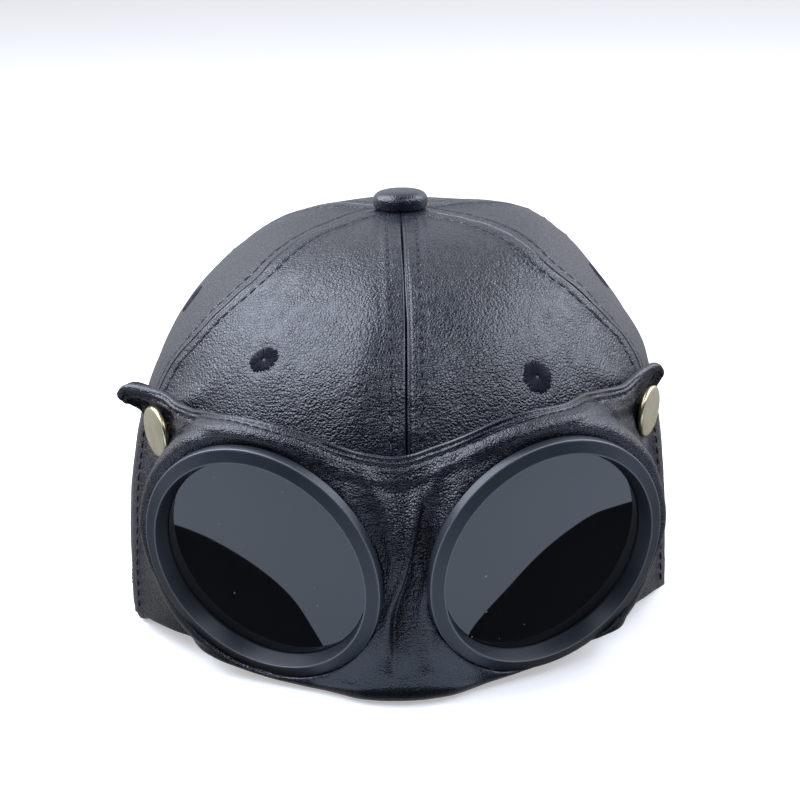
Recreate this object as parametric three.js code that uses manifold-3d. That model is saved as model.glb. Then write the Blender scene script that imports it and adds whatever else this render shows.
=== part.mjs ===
// Six-panel leather cap with a goggle peak, which is turned up against the front of the crown and snapped
// to the temples. Units are millimetres and degrees, +Z is up and the front of the cap faces -Y. Left and
// right are the wearer's, so left is +X. A bearing is measured round the upright axis from the front,
// positive toward the left. A climb is the angle up the crown's profile, from 0 at the rim to 90 at the top.
import * as THREE from 'three';
import { mergeVertices } from 'three/addons/utils/BufferGeometryUtils.js';
import Module from 'manifold-3d';

const wasm = await Module();
wasm.setup();

// Driving dimensions
const LEATHER = 2;
const GAP = 0.3;
// The crown's reach from its middle in each direction, at the rim, and the power of the rim's oval.
const CROWN = { front: 91.5, left: 83, back: 106, right: 87.2, height: 118, rimPower: 2.1 };
// How full the upright profile is in each direction: 2 is an ellipse, and a higher power is boxier.
const FULLNESS = { front: 2.9, left: 3.3, back: 2.45, right: 2.65 };
const RIDGE = { atRim: 0.006, atTop: 0.05, mean: 0.36 };
const SKIRT = { height: 1.6, width: 11 };
const RIM_ARCH = { clearance: 1.8, to: 52, leftFrom: 82, rightFrom: 67 };
const TOP_HOLE = 2.6;
const PANEL_GRID = { columns: 8, rows: 12, steps: 120 };

// Bearing of the seams beside the front panels and beside the back panels, at each climb.
const SEAMS = [
  { at: 0, front: 66, back: 120 },
  { at: 34, front: 63, back: 120 },
  { at: 46, front: 56, back: 120 },
  { at: 60, front: 49.5, back: 120 },
  { at: 72, front: 52, back: 120 },
  { at: 90, front: 60, back: 120 },
];
// Each panel lies between two seams, which are numbered from 0 at the front to 3 at the back.
const PANELS = [
  { name: 'panel_front_left', from: 0, to: 1 },
  { name: 'panel_side_left', from: 1, to: 2 },
  { name: 'panel_back_left', from: 2, to: 3 },
  { name: 'panel_back_right', from: -3, to: -2 },
  { name: 'panel_side_right', from: -2, to: -1 },
  { name: 'panel_front_right', from: -1, to: 0 },
];

// Soft dents and folds of the crown: bearing and height of the middle, turn from upright, half length and
// half width, and how far it stands out (negative is a hollow). They fade out toward the top.
const FOLD_FADE = 40;
const CROWN_FOLDS = [
  { at: -11, up: 84, turn: 4, long: 30, wide: 8, out: -1.6 },
  { at: 12, up: 84, turn: -4, long: 30, wide: 8, out: -1.6 },
  { at: -52, up: 72, turn: 55, long: 14, wide: 4, out: 1.2 },
  { at: 50, up: 76, turn: -50, long: 16, wide: 5, out: 1.0 },
  { at: -100, up: 40, turn: 20, long: 26, wide: 9, out: -1.4 },
  { at: 104, up: 44, turn: -16, long: 28, wide: 9, out: -1.2 },
  { at: 150, up: 58, turn: 60, long: 24, wide: 8, out: -1.2 },
  { at: -146, up: 46, turn: -50, long: 24, wide: 8, out: -1.2 },
];

const EYELET = { barrel: 1.5, hole: 1.8, segments: 12 };
// The eyelet's outline, as pairs of radius and height over the leather, counter-clockwise.
const EYELET_OUTLINE = [
  { radius: 0.6, up: -LEATHER },
  { radius: EYELET.barrel, up: -LEATHER },
  { radius: EYELET.barrel, up: GAP },
  { radius: 5, up: GAP },
  { radius: 5, up: 0.6 },
  { radius: 4.2, up: 1.2 },
  { radius: 1.3, up: 1.2 },
  { radius: 0.6, up: 0.75 },
];
const EYELETS = [
  { name: 'eyelet_front_left', panel: 'panel_front_left', at: 29.6, up: 82.4 },
  { name: 'eyelet_side_left', panel: 'panel_side_left', at: 90, up: 96 },
  { name: 'eyelet_back_left', panel: 'panel_back_left', at: 150, up: 90 },
  { name: 'eyelet_back_right', panel: 'panel_back_right', at: -150, up: 90 },
  { name: 'eyelet_side_right', panel: 'panel_side_right', at: -90, up: 92 },
  { name: 'eyelet_front_right', panel: 'panel_front_right', at: -30.8, up: 88.2 },
];

const BUTTON = { radius: 8.4, height: 6, foot: 7.2, shank: 2.1, shankLength: 7, segments: 20 };
// The button's rounded side: it starts at this turn, and both powers square it off.
const BUTTON_SIDE = { start: -0.5, belly: 0.42, outPower: 0.6, upPower: 0.9, steps: 7 };

// The goggles: where the middle of each frame's front face lies, and how its axis turns out and tips up.
const SEATS = [
  { side: 'left', x: 40.1, y: -98.3, z: 38.8, yaw: 26.4, tilt: -12.5 },
  { side: 'right', x: -40.1, y: -98.3, z: 38.8, yaw: -26.4, tilt: -12.5 },
];
const FRAME = { radius: 36.3, opening: 31.2, depth: 4, lip: 29.8, neck: 32.2, back: 7.6, round: 0.7 };
const LENS = { radius: 30.9, front: 4.6, thick: 1.6, dome: 0.4, middle: 0.6 };
const ROUND_SEGMENTS = 36;

// The turned-up peak: how far it stands off the crown, and how it blends into the flat seats of the frames.
const PEAK = { bearing: 63.5, columns: 44, rows: 15, rollFrom: 34, rollTo: 48 };
const PEAK_STEPS = { under: 8, roll: 12, face: 60 };
const STANDOFF = { bridge: 16.5, bridgeAt: 22, temple: 2.8, templeAt: 58 };
const LEVELS = { hemDepth: 22, lowFrom: 8, lowTo: 26 };
const SEAT_BLEND = { flat: 37, up: 9, down: 7, outward: 14, inward: 6.5 };
// Under each frame the leather comes forward by this rise, over this span of rise over distance.
const SEAT_LIP = { rise: 4.2, inside: 25, highest: -0.3, lowest: -0.8 };
const EAR = { from: 50, rise: 9, leftFlare: 5, rightFlare: 10.5 };
// At each bearing: the lowest and highest part of the sheet, how far it stands off the crown at both, and
// the radius of the fold under its front.
const PEAK_EDGES = [
  { at: -63.5, bottom: 4, top: 75.5, low: 2.8, hem: 2.8, roll: 3 },
  { at: -56, bottom: 5.5, top: 76, low: 2.8, hem: 3, roll: 3 },
  { at: -48, bottom: 6.5, top: 74, low: 3, hem: 5, roll: 3 },
  { at: -40, bottom: 6.5, top: 75.5, low: 3, hem: 8, roll: 3 },
  { at: -27, bottom: 2.2, top: 80.5, low: 5.5, hem: 12, roll: 3 },
  { at: -18, bottom: 0.6, top: 80.5, low: 9, hem: 12, roll: 3.6 },
  { at: -11, bottom: 0.2, top: 75.5, low: 13.5, hem: 9, roll: 5 },
  { at: 0, bottom: 0.1, top: 68, low: 16.5, hem: 6, roll: 6.5 },
  { at: 8.5, bottom: 0.1, top: 73, low: 13, hem: 8, roll: 5 },
  { at: 16, bottom: 0.4, top: 80, low: 9, hem: 12, roll: 4 },
  { at: 25, bottom: 2, top: 82, low: 5.5, hem: 12, roll: 3 },
  { at: 36, bottom: 8, top: 79, low: 3, hem: 8, roll: 3 },
  { at: 49, bottom: 9.8, top: 76.5, low: 3, hem: 5, roll: 3 },
  { at: 57, bottom: 9, top: 77.5, low: 2.8, hem: 3, roll: 3 },
  { at: 63.5, bottom: 7.5, top: 78.5, low: 2.8, hem: 2.8, roll: 3 },
];
const PEAK_FOLDS = [
  { at: -2, up: 34, turn: 3, long: 26, wide: 3.5, out: 2 },
  { at: 5, up: 36, turn: -4, long: 24, wide: 4, out: -2.2 },
];

const STUD = { radius: 7.7, post: 2.4, hole: 2.8, segments: 20 };
// The domed cap of a stud, as pairs of radius and height over the leather, counter-clockwise.
const STUD_OUTLINE = [
  { radius: STUD.post, up: GAP },
  { radius: 7.1, up: GAP },
  { radius: STUD.radius, up: 1.1 },
  { radius: 7.5, up: 2.1 },
  { radius: 6.5, up: 2.9 },
  { radius: 5.5, up: 2.6 },
  { radius: 0, up: 3 },
];
const STUDS = [
  { name: 'snap_stud_left', at: 57.5, up: 65 },
  { name: 'snap_stud_right', at: -56.5, up: 63 },
];

// How far a cutting tool reaches past both sides of a wall.
const REACH = 6;

const LEATHER_BLACK = { color: 0x1d2027, roughness: 0.48, metalness: 0 };
const THREAD_NAVY = { color: 0x14161d, roughness: 0.85, metalness: 0 };
const FRAME_BLACK = { color: 0x23272e, roughness: 0.55, metalness: 0 };
const LENS_DARK = { color: 0x0b0c0f, roughness: 0.05, metalness: 0.2 };
const BRASS = { color: 0xc9bd94, roughness: 0.28, metalness: 1 };

const radians = THREE.MathUtils.degToRad;
const smooth = THREE.MathUtils.smoothstep;
const blend = THREE.MathUtils.lerp;

// Reads a column of a table whose rows are sorted by their at, along a smooth curve through the rows.
function fromTable(table, at, column) {
  const last = table.length - 1;
  if (at <= table[0].at) return table[0][column];
  if (at >= table[last].at) return table[last][column];
  const next = table.findIndex((row) => row.at > at);
  const slope = (k) => {
    const a = table[Math.max(k - 1, 0)];
    const b = table[Math.min(k + 1, last)];
    return (b[column] - a[column]) / (b.at - a.at);
  };
  const a = table[next - 1];
  const b = table[next];
  const span = b.at - a.at;
  const t = (at - a.at) / span;
  const ease = t * t * (3 - 2 * t);
  const bend = slope(next - 1) * span * t * (1 - t) ** 2 - slope(next) * span * t * t * (1 - t);
  return blend(a[column], b[column], ease) + bend;
}

// How far a table of folds pushes a wall out at this bearing and height.
function foldRelief(folds, bearing, up, radius) {
  let out = 0;
  for (const fold of folds) {
    const round = radius * radians(bearing - fold.at);
    const rise = up - fold.up;
    const turn = radians(fold.turn);
    const along = round * Math.sin(turn) + rise * Math.cos(turn);
    const across = round * Math.cos(turn) - rise * Math.sin(turn);
    out += fold.out * Math.exp(-((along / fold.long) ** 2) - (across / fold.wide) ** 2);
  }
  return out;
}

function place(bearing, radius, up) {
  const turn = radians(bearing);
  return new THREE.Vector3(radius * Math.sin(turn), -radius * Math.cos(turn), up);
}

// The crown's outer surface.
function rimRadius(bearing) {
  const turn = radians(bearing);
  const width = Math.sin(turn) > 0 ? CROWN.left : CROWN.right;
  const length = Math.cos(turn) > 0 ? CROWN.front : CROWN.back;
  const across = Math.abs(Math.sin(turn) / width) ** CROWN.rimPower;
  const along = Math.abs(Math.cos(turn) / length) ** CROWN.rimPower;
  return (across + along) ** (-1 / CROWN.rimPower);
}

function fullness(bearing) {
  const c = Math.cos(radians(bearing));
  const s = Math.sin(radians(bearing));
  const length = c > 0 ? FULLNESS.front : FULLNESS.back;
  const width = s > 0 ? FULLNESS.left : FULLNESS.right;
  return length * c * c + width * s * s;
}

// The bearing of a seam, or of a place between two seams, at a climb in radians.
function seamBearing(number, climb) {
  const steep = THREE.MathUtils.radToDeg(climb);
  const bearings = [0, fromTable(SEAMS, steep, 'front'), fromTable(SEAMS, steep, 'back'), 180];
  const size = Math.abs(number);
  const low = Math.min(Math.floor(size), 2);
  return Math.sign(number) * blend(bearings[low], bearings[low + 1], size - low);
}

// The reverse: which seam, or share of the way between two, a bearing is at.
function seamNumber(bearing, climb) {
  const size = Math.abs(bearing);
  const low = [2, 1, 0].find((k) => seamBearing(k, climb) <= size);
  const start = seamBearing(low, climb);
  return low + (size - start) / (seamBearing(low + 1, climb) - start);
}

// The wall stands out along each seam as a soft ridge, which grows toward the top.
function seamRidge(bearing, climb, rise) {
  const size = blend(RIDGE.atRim, RIDGE.atTop, rise ** 2);
  return 1 + size * (1 - Math.abs(Math.sin(Math.PI * seamNumber(bearing, climb))) - RIDGE.mean);
}

function crownPoint(bearing, climb) {
  const power = 2 / fullness(bearing);
  const rise = Math.sin(climb) ** power;
  const plain = rimRadius(bearing) * Math.cos(climb) ** power * seamRidge(bearing, climb, rise);
  const up = CROWN.height * rise;
  const radius = plain + foldRelief(CROWN_FOLDS, bearing, up, plain) * smooth(plain, 0, FOLD_FADE);
  return place(bearing, radius, up + SKIRT.height * Math.exp(-((radius / SKIRT.width) ** 2)));
}

function crownRadius(bearing, up) {
  const n = fullness(bearing);
  const rise = Math.min(up / CROWN.height, 0.999);
  const ridge = seamRidge(bearing, Math.asin(rise ** (n / 2)), rise);
  const plain = rimRadius(bearing) * (1 - rise ** n) ** (1 / n) * ridge;
  return plain + foldRelief(CROWN_FOLDS, bearing, up, plain);
}

function crownNormal(bearing, climb) {
  const step = 0.01;
  const end = 0.002;
  const low = Math.max(climb - step, end);
  const high = Math.min(climb + step, Math.PI / 2 - end);
  const round = crownPoint(bearing + 0.5, climb).sub(crownPoint(bearing - 0.5, climb));
  const rise = crownPoint(bearing, high).sub(crownPoint(bearing, low));
  return round.cross(rise).normalize();
}

// The rim arches up over the fold of the peak and is flat elsewhere.
function rimHeight(bearing) {
  const over = fromTable(PEAK_EDGES, bearing, 'bottom') + LEATHER + RIM_ARCH.clearance;
  const from = bearing > 0 ? RIM_ARCH.leftFrom : RIM_ARCH.rightFrom;
  return over * (1 - smooth(Math.abs(bearing), RIM_ARCH.to, from));
}

// The climb angle at which the profile reaches a height.
function climbAt(bearing, up) {
  return Math.asin((up / CROWN.height) ** (fullness(bearing) / 2));
}

// The climb angle at which the profile comes in to a radius.
function climbIn(bearing, radius) {
  return Math.acos((radius / rimRadius(bearing)) ** (fullness(bearing) / 2));
}

// Walks a path and gives count + 1 places that are evenly far apart along it, as steps of the path.
function evenly(path, count) {
  const lengths = [0];
  for (let i = 1; i < path.length; i++) lengths.push(lengths[i - 1] + path[i].distanceTo(path[i - 1]));
  const total = lengths[path.length - 1];
  return Array.from({ length: count + 1 }, (_, k) => {
    const want = (total * k) / count;
    let i = 1;
    while (i < path.length - 1 && lengths[i] < want) i++;
    return i - 1 + (want - lengths[i - 1]) / (lengths[i] - lengths[i - 1]);
  });
}

// A closed wall from two grids of points, the outer and the inner, joined round the border.
function wall(outer, inner) {
  const columns = outer.length;
  const rows = outer[0].length;
  const points = [...outer.flat(), ...inner.flat()];
  const at = (i, j, side) => side * columns * rows + i * rows + j;
  const faces = [];
  const quad = (a, b, c, d) => faces.push(a, b, c, a, c, d);
  for (let i = 0; i < columns - 1; i++) {
    for (let j = 0; j < rows - 1; j++) {
      quad(at(i, j, 0), at(i + 1, j, 0), at(i + 1, j + 1, 0), at(i, j + 1, 0));
      quad(at(i, j, 1), at(i, j + 1, 1), at(i + 1, j + 1, 1), at(i + 1, j, 1));
    }
  }
  for (let i = 0; i < columns - 1; i++) {
    quad(at(i, 0, 1), at(i + 1, 0, 1), at(i + 1, 0, 0), at(i, 0, 0));
    quad(at(i, rows - 1, 0), at(i + 1, rows - 1, 0), at(i + 1, rows - 1, 1), at(i, rows - 1, 1));
  }
  for (let j = 0; j < rows - 1; j++) {
    quad(at(0, j, 0), at(0, j + 1, 0), at(0, j + 1, 1), at(0, j, 1));
    quad(at(columns - 1, j, 1), at(columns - 1, j + 1, 1), at(columns - 1, j + 1, 0), at(columns - 1, j, 0));
  }
  const geometry = new THREE.BufferGeometry();
  geometry.setAttribute('position', new THREE.Float32BufferAttribute(points.flatMap((p) => p.toArray()), 3));
  geometry.setIndex(faces);
  return geometry;
}

function asSolid(geometry) {
  const bare = new THREE.BufferGeometry();
  bare.setAttribute('position', geometry.getAttribute('position'));
  bare.setIndex(geometry.index);
  const merged = mergeVertices(bare, 1e-3);
  const vertProperties = new Float32Array(merged.attributes.position.array);
  const triVerts = new Uint32Array(merged.index.array);
  return new wasm.Manifold(new wasm.Mesh({ numProp: 3, vertProperties, triVerts }));
}

function asGeometry(solid) {
  const { vertProperties, triVerts } = solid.getMesh();
  const geometry = new THREE.BufferGeometry();
  geometry.setAttribute('position', new THREE.BufferAttribute(vertProperties, 3));
  geometry.setIndex(new THREE.BufferAttribute(triVerts, 1));
  return geometry;
}

function cut(geometry, tools) {
  let solid = asSolid(geometry);
  for (const tool of tools) solid = solid.subtract(asSolid(tool));
  return asGeometry(solid);
}

// A solid of revolution about its own Z axis, from pairs of radius and height that run counter-clockwise.
function turned(profile, segments) {
  const outline = profile.map(([radius, height]) => new THREE.Vector2(radius, height));
  const hollow = profile[0][0] > 0;
  if (hollow) outline.push(outline[0].clone());
  return new THREE.LatheGeometry(outline, segments).rotateX(Math.PI / 2);
}

const pairs = (outline) => outline.map(({ radius, up }) => [radius, up]);

// Turns a geometry's Z axis onto a direction and moves its origin to a place.
function seated(geometry, origin, axis) {
  const turn = new THREE.Quaternion().setFromUnitVectors(new THREE.Vector3(0, 0, 1), axis);
  return geometry.clone().applyQuaternion(turn).translate(origin.x, origin.y, origin.z);
}

function finished(name, geometry, look) {
  const mesh = new THREE.Mesh(geometry, new THREE.MeshStandardMaterial(look));
  mesh.geometry.computeVertexNormals();
  mesh.name = name;
  return mesh;
}

function outward(bearing, up) {
  const climb = climbAt(bearing, up);
  return { point: crownPoint(bearing, climb), normal: crownNormal(bearing, climb) };
}

// Crown panels
function panelWall({ from, to }) {
  const outer = [];
  const inner = [];
  for (let i = 0; i <= PANEL_GRID.columns; i++) {
    const number = blend(from, to, i / PANEL_GRID.columns);
    const foot = seamBearing(number, 0);
    const first = climbAt(foot, rimHeight(foot));
    const last = climbIn(seamBearing(number, Math.PI / 2), TOP_HOLE);
    const { steps } = PANEL_GRID;
    const climbs = Array.from({ length: steps + 1 }, (_, k) => blend(first, last, k / steps));
    const path = climbs.map((climb) => crownPoint(seamBearing(number, climb), climb));
    const outerColumn = [];
    const innerColumn = [];
    for (const step of evenly(path, PANEL_GRID.rows)) {
      const climb = blend(first, last, step / steps);
      const bearing = seamBearing(number, climb);
      // Each panel stops half a gap short of its seams.
      const short = (GAP / 2) * (1 - (2 * i) / PANEL_GRID.columns);
      const point = crownPoint(bearing, climb).add(place(bearing + 90, short, 0));
      outerColumn.push(point);
      innerColumn.push(point.clone().addScaledVector(crownNormal(bearing, climb), -LEATHER));
    }
    outer.push(outerColumn);
    inner.push(innerColumn);
  }
  // The rim is a flat cut, so the inner wall starts at the height of the outer one.
  inner.forEach((column, i) => (column[0].z = outer[i][0].z));
  return wall(outer, inner);
}

function eyeletTool({ at, up }) {
  const { point, normal } = outward(at, up);
  const profile = [[0, -REACH], [EYELET.hole, -REACH], [EYELET.hole, REACH], [0, REACH]];
  return seated(turned(profile, EYELET.segments), point, normal);
}

function makePanel(panel) {
  const holes = EYELETS.filter((eyelet) => eyelet.panel === panel.name).map(eyeletTool);
  return finished(panel.name, cut(panelWall(panel), holes), LEATHER_BLACK);
}

function makeEyelet(eyelet) {
  const { point, normal } = outward(eyelet.at, eyelet.up);
  const ring = turned(pairs(EYELET_OUTLINE), EYELET.segments);
  return finished(eyelet.name, seated(ring, point, normal), THREAD_NAVY);
}

function makeButton() {
  const { radius, height, foot, shank, shankLength, segments } = BUTTON;
  const { start, belly, outPower, upPower, steps } = BUTTON_SIDE;
  const profile = [[0, -shankLength], [shank, -shankLength], [shank, 0], [foot, 0]];
  for (let i = 0; i <= steps; i++) {
    const turn = blend(start, Math.PI / 2, i / steps);
    const rise = Math.sign(turn) * Math.abs(Math.sin(turn)) ** upPower;
    const out = i === steps ? 0 : radius * Math.cos(turn) ** outPower;
    profile.push([out, height * (belly + (1 - belly) * rise)]);
  }
  const geometry = turned(profile, segments);
  geometry.translate(0, 0, CROWN.height + SKIRT.height + GAP);
  return finished('top_button', geometry, LEATHER_BLACK);
}

// Seats of the goggles
function seatAxes(seat) {
  const yaw = radians(seat.yaw);
  const tilt = radians(seat.tilt);
  const across = new THREE.Vector3(Math.cos(yaw), Math.sin(yaw), 0);
  const level = Math.cos(tilt);
  const axis = new THREE.Vector3(Math.sin(yaw) * level, -Math.cos(yaw) * level, Math.sin(tilt));
  const centre = new THREE.Vector3(seat.x, seat.y, seat.z);
  return { across, axis, upward: axis.clone().cross(across), centre };
}

const AXES = SEATS.map(seatAxes);

// Where the leather lies at this bearing and height if it is the seat of a frame, and how far it is that.
function seatSurface(bearing, up) {
  const side = bearing > 0 ? 0 : 1;
  const { across, axis, upward, centre } = AXES[side];
  const behind = centre.clone().addScaledVector(axis, -FRAME.depth - GAP);
  const ray = place(bearing, 1, 0);
  const start = new THREE.Vector3(0, 0, up);
  const radius = behind.clone().sub(start).dot(axis) / ray.dot(axis);
  const from = start.addScaledVector(ray, radius).sub(behind);
  const out = from.dot(across) * (side === 0 ? 1 : -1);
  const rise = from.dot(upward);
  const far = Math.max(Math.hypot(out, rise), 1e-6);
  const sideways = (out > 0 ? SEAT_BLEND.outward : SEAT_BLEND.inward) * (out / far) ** 2;
  const upright = (rise > 0 ? SEAT_BLEND.up : SEAT_BLEND.down) * (rise / far) ** 2;
  const reach = sideways + upright;
  // Under the frame the leather comes forward, flush with the frame's face.
  const below = 1 - smooth(rise / far, SEAT_LIP.lowest, SEAT_LIP.highest);
  const lip = SEAT_LIP.rise * below * smooth(far, SEAT_LIP.inside, FRAME.neck);
  return { radius: radius + lip, weight: 1 - smooth(far, SEAT_BLEND.flat, SEAT_BLEND.flat + reach) };
}

// The turned-up peak
function standoff(bearing, up) {
  const turn = Math.abs(bearing);
  const top = fromTable(PEAK_EDGES, bearing, 'top');
  const middle = blend(STANDOFF.bridge, STANDOFF.temple, smooth(turn, STANDOFF.bridgeAt, STANDOFF.templeAt));
  const low = fromTable(PEAK_EDGES, bearing, 'low');
  const hem = fromTable(PEAK_EDGES, bearing, 'hem');
  const lower = blend(low, middle, smooth(up, LEVELS.lowFrom, LEVELS.lowTo));
  const plain = blend(lower, hem, smooth(up, top - LEVELS.hemDepth, top));
  const flare = bearing > 0 ? EAR.leftFlare : EAR.rightFlare;
  return plain + flare * smooth(turn, EAR.from, PEAK.bearing) * smooth(up, top - EAR.rise, top);
}

function peakRadius(bearing, up) {
  const loose = crownRadius(bearing, up) + standoff(bearing, up);
  const seat = seatSurface(bearing, up);
  const plain = blend(loose, seat.radius, seat.weight);
  return plain + foldRelief(PEAK_FOLDS, bearing, up, plain) * (1 - seat.weight);
}

// One upright section of the sheet: under the crown's rim, round the rolled fold and up to the free edge.
function peakSection(bearing) {
  const bottom = fromTable(PEAK_EDGES, bearing, 'bottom');
  const top = fromTable(PEAK_EDGES, bearing, 'top');
  const roll = fromTable(PEAK_EDGES, bearing, 'roll');
  const share = 1 - smooth(Math.abs(bearing), PEAK.rollFrom, PEAK.rollTo);
  const sweep = (Math.PI / 2) * share;
  const centreUp = bottom + roll * Math.sin(sweep);
  const centreOut = peakRadius(bearing, centreUp) - roll;
  const under = (centreOut - (crownRadius(bearing, centreUp) - LEATHER)) * share ** 3;
  const path = [];
  if (share > 0) {
    const heel = place(bearing, centreOut + roll * Math.cos(sweep), bottom);
    const inward = place(bearing, -Math.sin(sweep), 0).setZ(-Math.cos(sweep));
    for (let k = PEAK_STEPS.under; k > 0; k--) {
      path.push(heel.clone().addScaledVector(inward, (under * k) / PEAK_STEPS.under));
    }
    for (let k = 0; k < PEAK_STEPS.roll; k++) {
      const turn = -sweep * (1 - k / PEAK_STEPS.roll);
      path.push(place(bearing, centreOut + roll * Math.cos(turn), centreUp + roll * Math.sin(turn)));
    }
  }
  for (let k = 0; k <= PEAK_STEPS.face; k++) {
    const up = blend(centreUp, top, k / PEAK_STEPS.face);
    path.push(place(bearing, peakRadius(bearing, up), up));
  }
  return path;
}

function along(path, step) {
  const i = Math.min(Math.floor(step), path.length - 2);
  return path[i].clone().lerp(path[i + 1], step - i);
}

function peakWall() {
  const columns = Array.from({ length: PEAK.columns + 1 }, (_, i) => {
    const path = peakSection(blend(-PEAK.bearing, PEAK.bearing, i / PEAK.columns));
    return evenly(path, PEAK.rows).map((step) => along(path, step));
  });
  const last = PEAK.columns;
  const inner = columns.map((column, i) =>
    column.map((point, j) => {
      const round = columns[Math.min(i + 1, last)][j].clone().sub(columns[Math.max(i - 1, 0)][j]);
      const rise = column[Math.min(j + 1, PEAK.rows)].clone().sub(column[Math.max(j - 1, 0)]);
      return point.clone().addScaledVector(round.cross(rise).normalize(), -LEATHER);
    }),
  );
  return wall(columns, inner);
}

// The hole for a frame's neck, with a shallow clearance in front of the seat for the frame's face.
function frameTool({ axis, centre }) {
  const { radius, neck, depth, back } = FRAME;
  const face = -depth - GAP;
  const profile = [
    [0, -back - 2 * REACH],
    [neck + GAP, -back - 2 * REACH],
    [neck + GAP, face],
    [radius + GAP, face],
    [radius + GAP, 2 * REACH],
    [0, 2 * REACH],
  ];
  return seated(turned(profile, ROUND_SEGMENTS), centre, axis);
}

function studSeat({ at, up }) {
  const radius = peakRadius(at, up);
  const point = place(at, radius, up);
  const round = place(at + 1, peakRadius(at + 1, up), up).sub(place(at - 1, peakRadius(at - 1, up), up));
  const rise = place(at, peakRadius(at, up + 1), up + 1).sub(place(at, peakRadius(at, up - 1), up - 1));
  return { point, normal: round.cross(rise).normalize() };
}

function studTool(stud) {
  const { point, normal } = studSeat(stud);
  const { radius, hole, segments } = STUD;
  const wide = radius + GAP;
  const profile = [[0, -REACH], [hole, -REACH], [hole, 0], [wide, 0], [wide, REACH], [0, REACH]];
  return seated(turned(profile, segments), point, normal);
}

function makePeak() {
  const tools = [...AXES.map(frameTool), ...STUDS.map(studTool)];
  return finished('goggle_peak', cut(peakWall(), tools), LEATHER_BLACK);
}

function makeFrame({ side }, { axis, centre }) {
  const { radius, opening, depth, lip, neck, back, round } = FRAME;
  const shelf = LENS.front + LENS.thick + GAP;
  const profile = [
    [lip, -back],
    [neck, -back],
    [neck, -depth],
    [radius, -depth],
    [radius, -round],
    [radius - round, 0],
    [opening + round, 0],
    [opening, -round],
    [opening, -shelf],
    [lip, -shelf],
  ];
  return finished(`lens_frame_${side}`, seated(turned(profile, ROUND_SEGMENTS), centre, axis), FRAME_BLACK);
}

function makeLens({ side }, { axis, centre }) {
  const { radius, front, thick, dome, middle } = LENS;
  const profile = [
    [0, -front - thick],
    [radius, -front - thick],
    [radius, -front - dome],
    [radius * middle, -front - dome * middle ** 2],
    [0, -front],
  ];
  return finished(`lens_${side}`, seated(turned(profile, ROUND_SEGMENTS), centre, axis), LENS_DARK);
}

function makeStud(stud) {
  const { point, normal } = studSeat(stud);
  const foot = 2 * GAP - standoff(stud.at, stud.up);
  const profile = [[0, foot], [STUD.post, foot], ...pairs(STUD_OUTLINE)];
  return finished(stud.name, seated(turned(profile, STUD.segments), point, normal), BRASS);
}

const cap = new THREE.Group();
for (const panel of PANELS) cap.add(makePanel(panel));
cap.add(makeButton());
for (const eyelet of EYELETS) cap.add(makeEyelet(eyelet));
cap.add(makePeak());
SEATS.forEach((seat, i) => cap.add(makeFrame(seat, AXES[i]), makeLens(seat, AXES[i])));
for (const stud of STUDS) cap.add(makeStud(stud));

// The origin is under the middle of the cap, on the surface that it rests on.
const box = new THREE.Box3().setFromObject(cap);
const middle = box.getCenter(new THREE.Vector3()).setZ(box.min.z);
for (const mesh of cap.children) mesh.geometry.translate(-middle.x, -middle.y, -middle.z);

export default cap;
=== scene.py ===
"""Leather cap with a turned-up goggle peak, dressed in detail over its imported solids.

Forms are worked out in millimetres, in the same way as the solids' own sizes, and become metres when a mesh is
made. Front is -Y, up is +Z, and left and right are the wearer's, so left is +X. A bearing is an angle in degrees
round the upright axis from the front, positive toward the left.
"""

import logging
import math
from collections.abc import Iterator
from contextlib import contextmanager
from dataclasses import dataclass, field
from enum import Enum

import bmesh
import bpy
import numpy as np
from mathutils import Matrix, Vector


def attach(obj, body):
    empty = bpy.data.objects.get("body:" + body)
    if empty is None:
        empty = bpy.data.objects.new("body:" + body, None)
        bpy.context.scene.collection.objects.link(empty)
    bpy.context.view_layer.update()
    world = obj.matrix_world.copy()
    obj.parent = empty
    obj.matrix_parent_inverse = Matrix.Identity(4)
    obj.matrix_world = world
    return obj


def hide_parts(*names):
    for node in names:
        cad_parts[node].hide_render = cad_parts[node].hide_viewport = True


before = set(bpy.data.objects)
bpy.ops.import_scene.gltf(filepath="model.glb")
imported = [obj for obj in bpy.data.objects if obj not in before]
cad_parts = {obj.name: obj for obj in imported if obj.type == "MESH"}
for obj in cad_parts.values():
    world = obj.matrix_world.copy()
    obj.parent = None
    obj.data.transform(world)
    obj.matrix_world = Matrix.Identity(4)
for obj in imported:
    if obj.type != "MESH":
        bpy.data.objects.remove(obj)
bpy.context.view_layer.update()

log = logging.getLogger("cap")

Array = np.ndarray
Pair = tuple[float, float]
Triple = tuple[float, float, float]
Profile = tuple[Pair, ...]
MM = 0.001
ORIGIN_SHIFT = np.array([2.0914, 4.57, 0.0])
LEATHER = 2.0
WELD = 2e-6
SIDES = {"left": 1, "right": -1}


def smoothstep(x: Array, low: float, high: float) -> Array:
    """Ease from 0 at low to 1 at high."""
    t = np.clip((np.asarray(x, float) - low) / (high - low), 0, 1)
    return t * t * (3 - 2 * t)


def lerp(a: Array, b: Array, t: Array) -> Array:
    """Blend from a to b."""
    return a + (b - a) * t


def bump(x: Array, middle: float, width: float) -> Array:
    """A rounded hump of height 1 round a middle."""
    return np.exp(-(((x - middle) / width) ** 2))


def place(bearing: Array, radius: Array, up: Array) -> Array:
    """Points at bearings in degrees, radii and heights.

    Args:
        bearing: Degrees round the upright axis.
        radius: Distances from that axis.
        up: Heights.

    Returns:
        An array of points with a last axis of three.
    """
    turn = np.radians(bearing)
    x, y, z = np.broadcast_arrays(radius * np.sin(turn), -radius * np.cos(turn), up)
    return np.stack([x, y, z], axis=-1)


def unit(v: Array) -> Array:
    """Vectors scaled to length 1."""
    return v / np.maximum(np.linalg.norm(v, axis=-1, keepdims=True), 1e-12)


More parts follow.
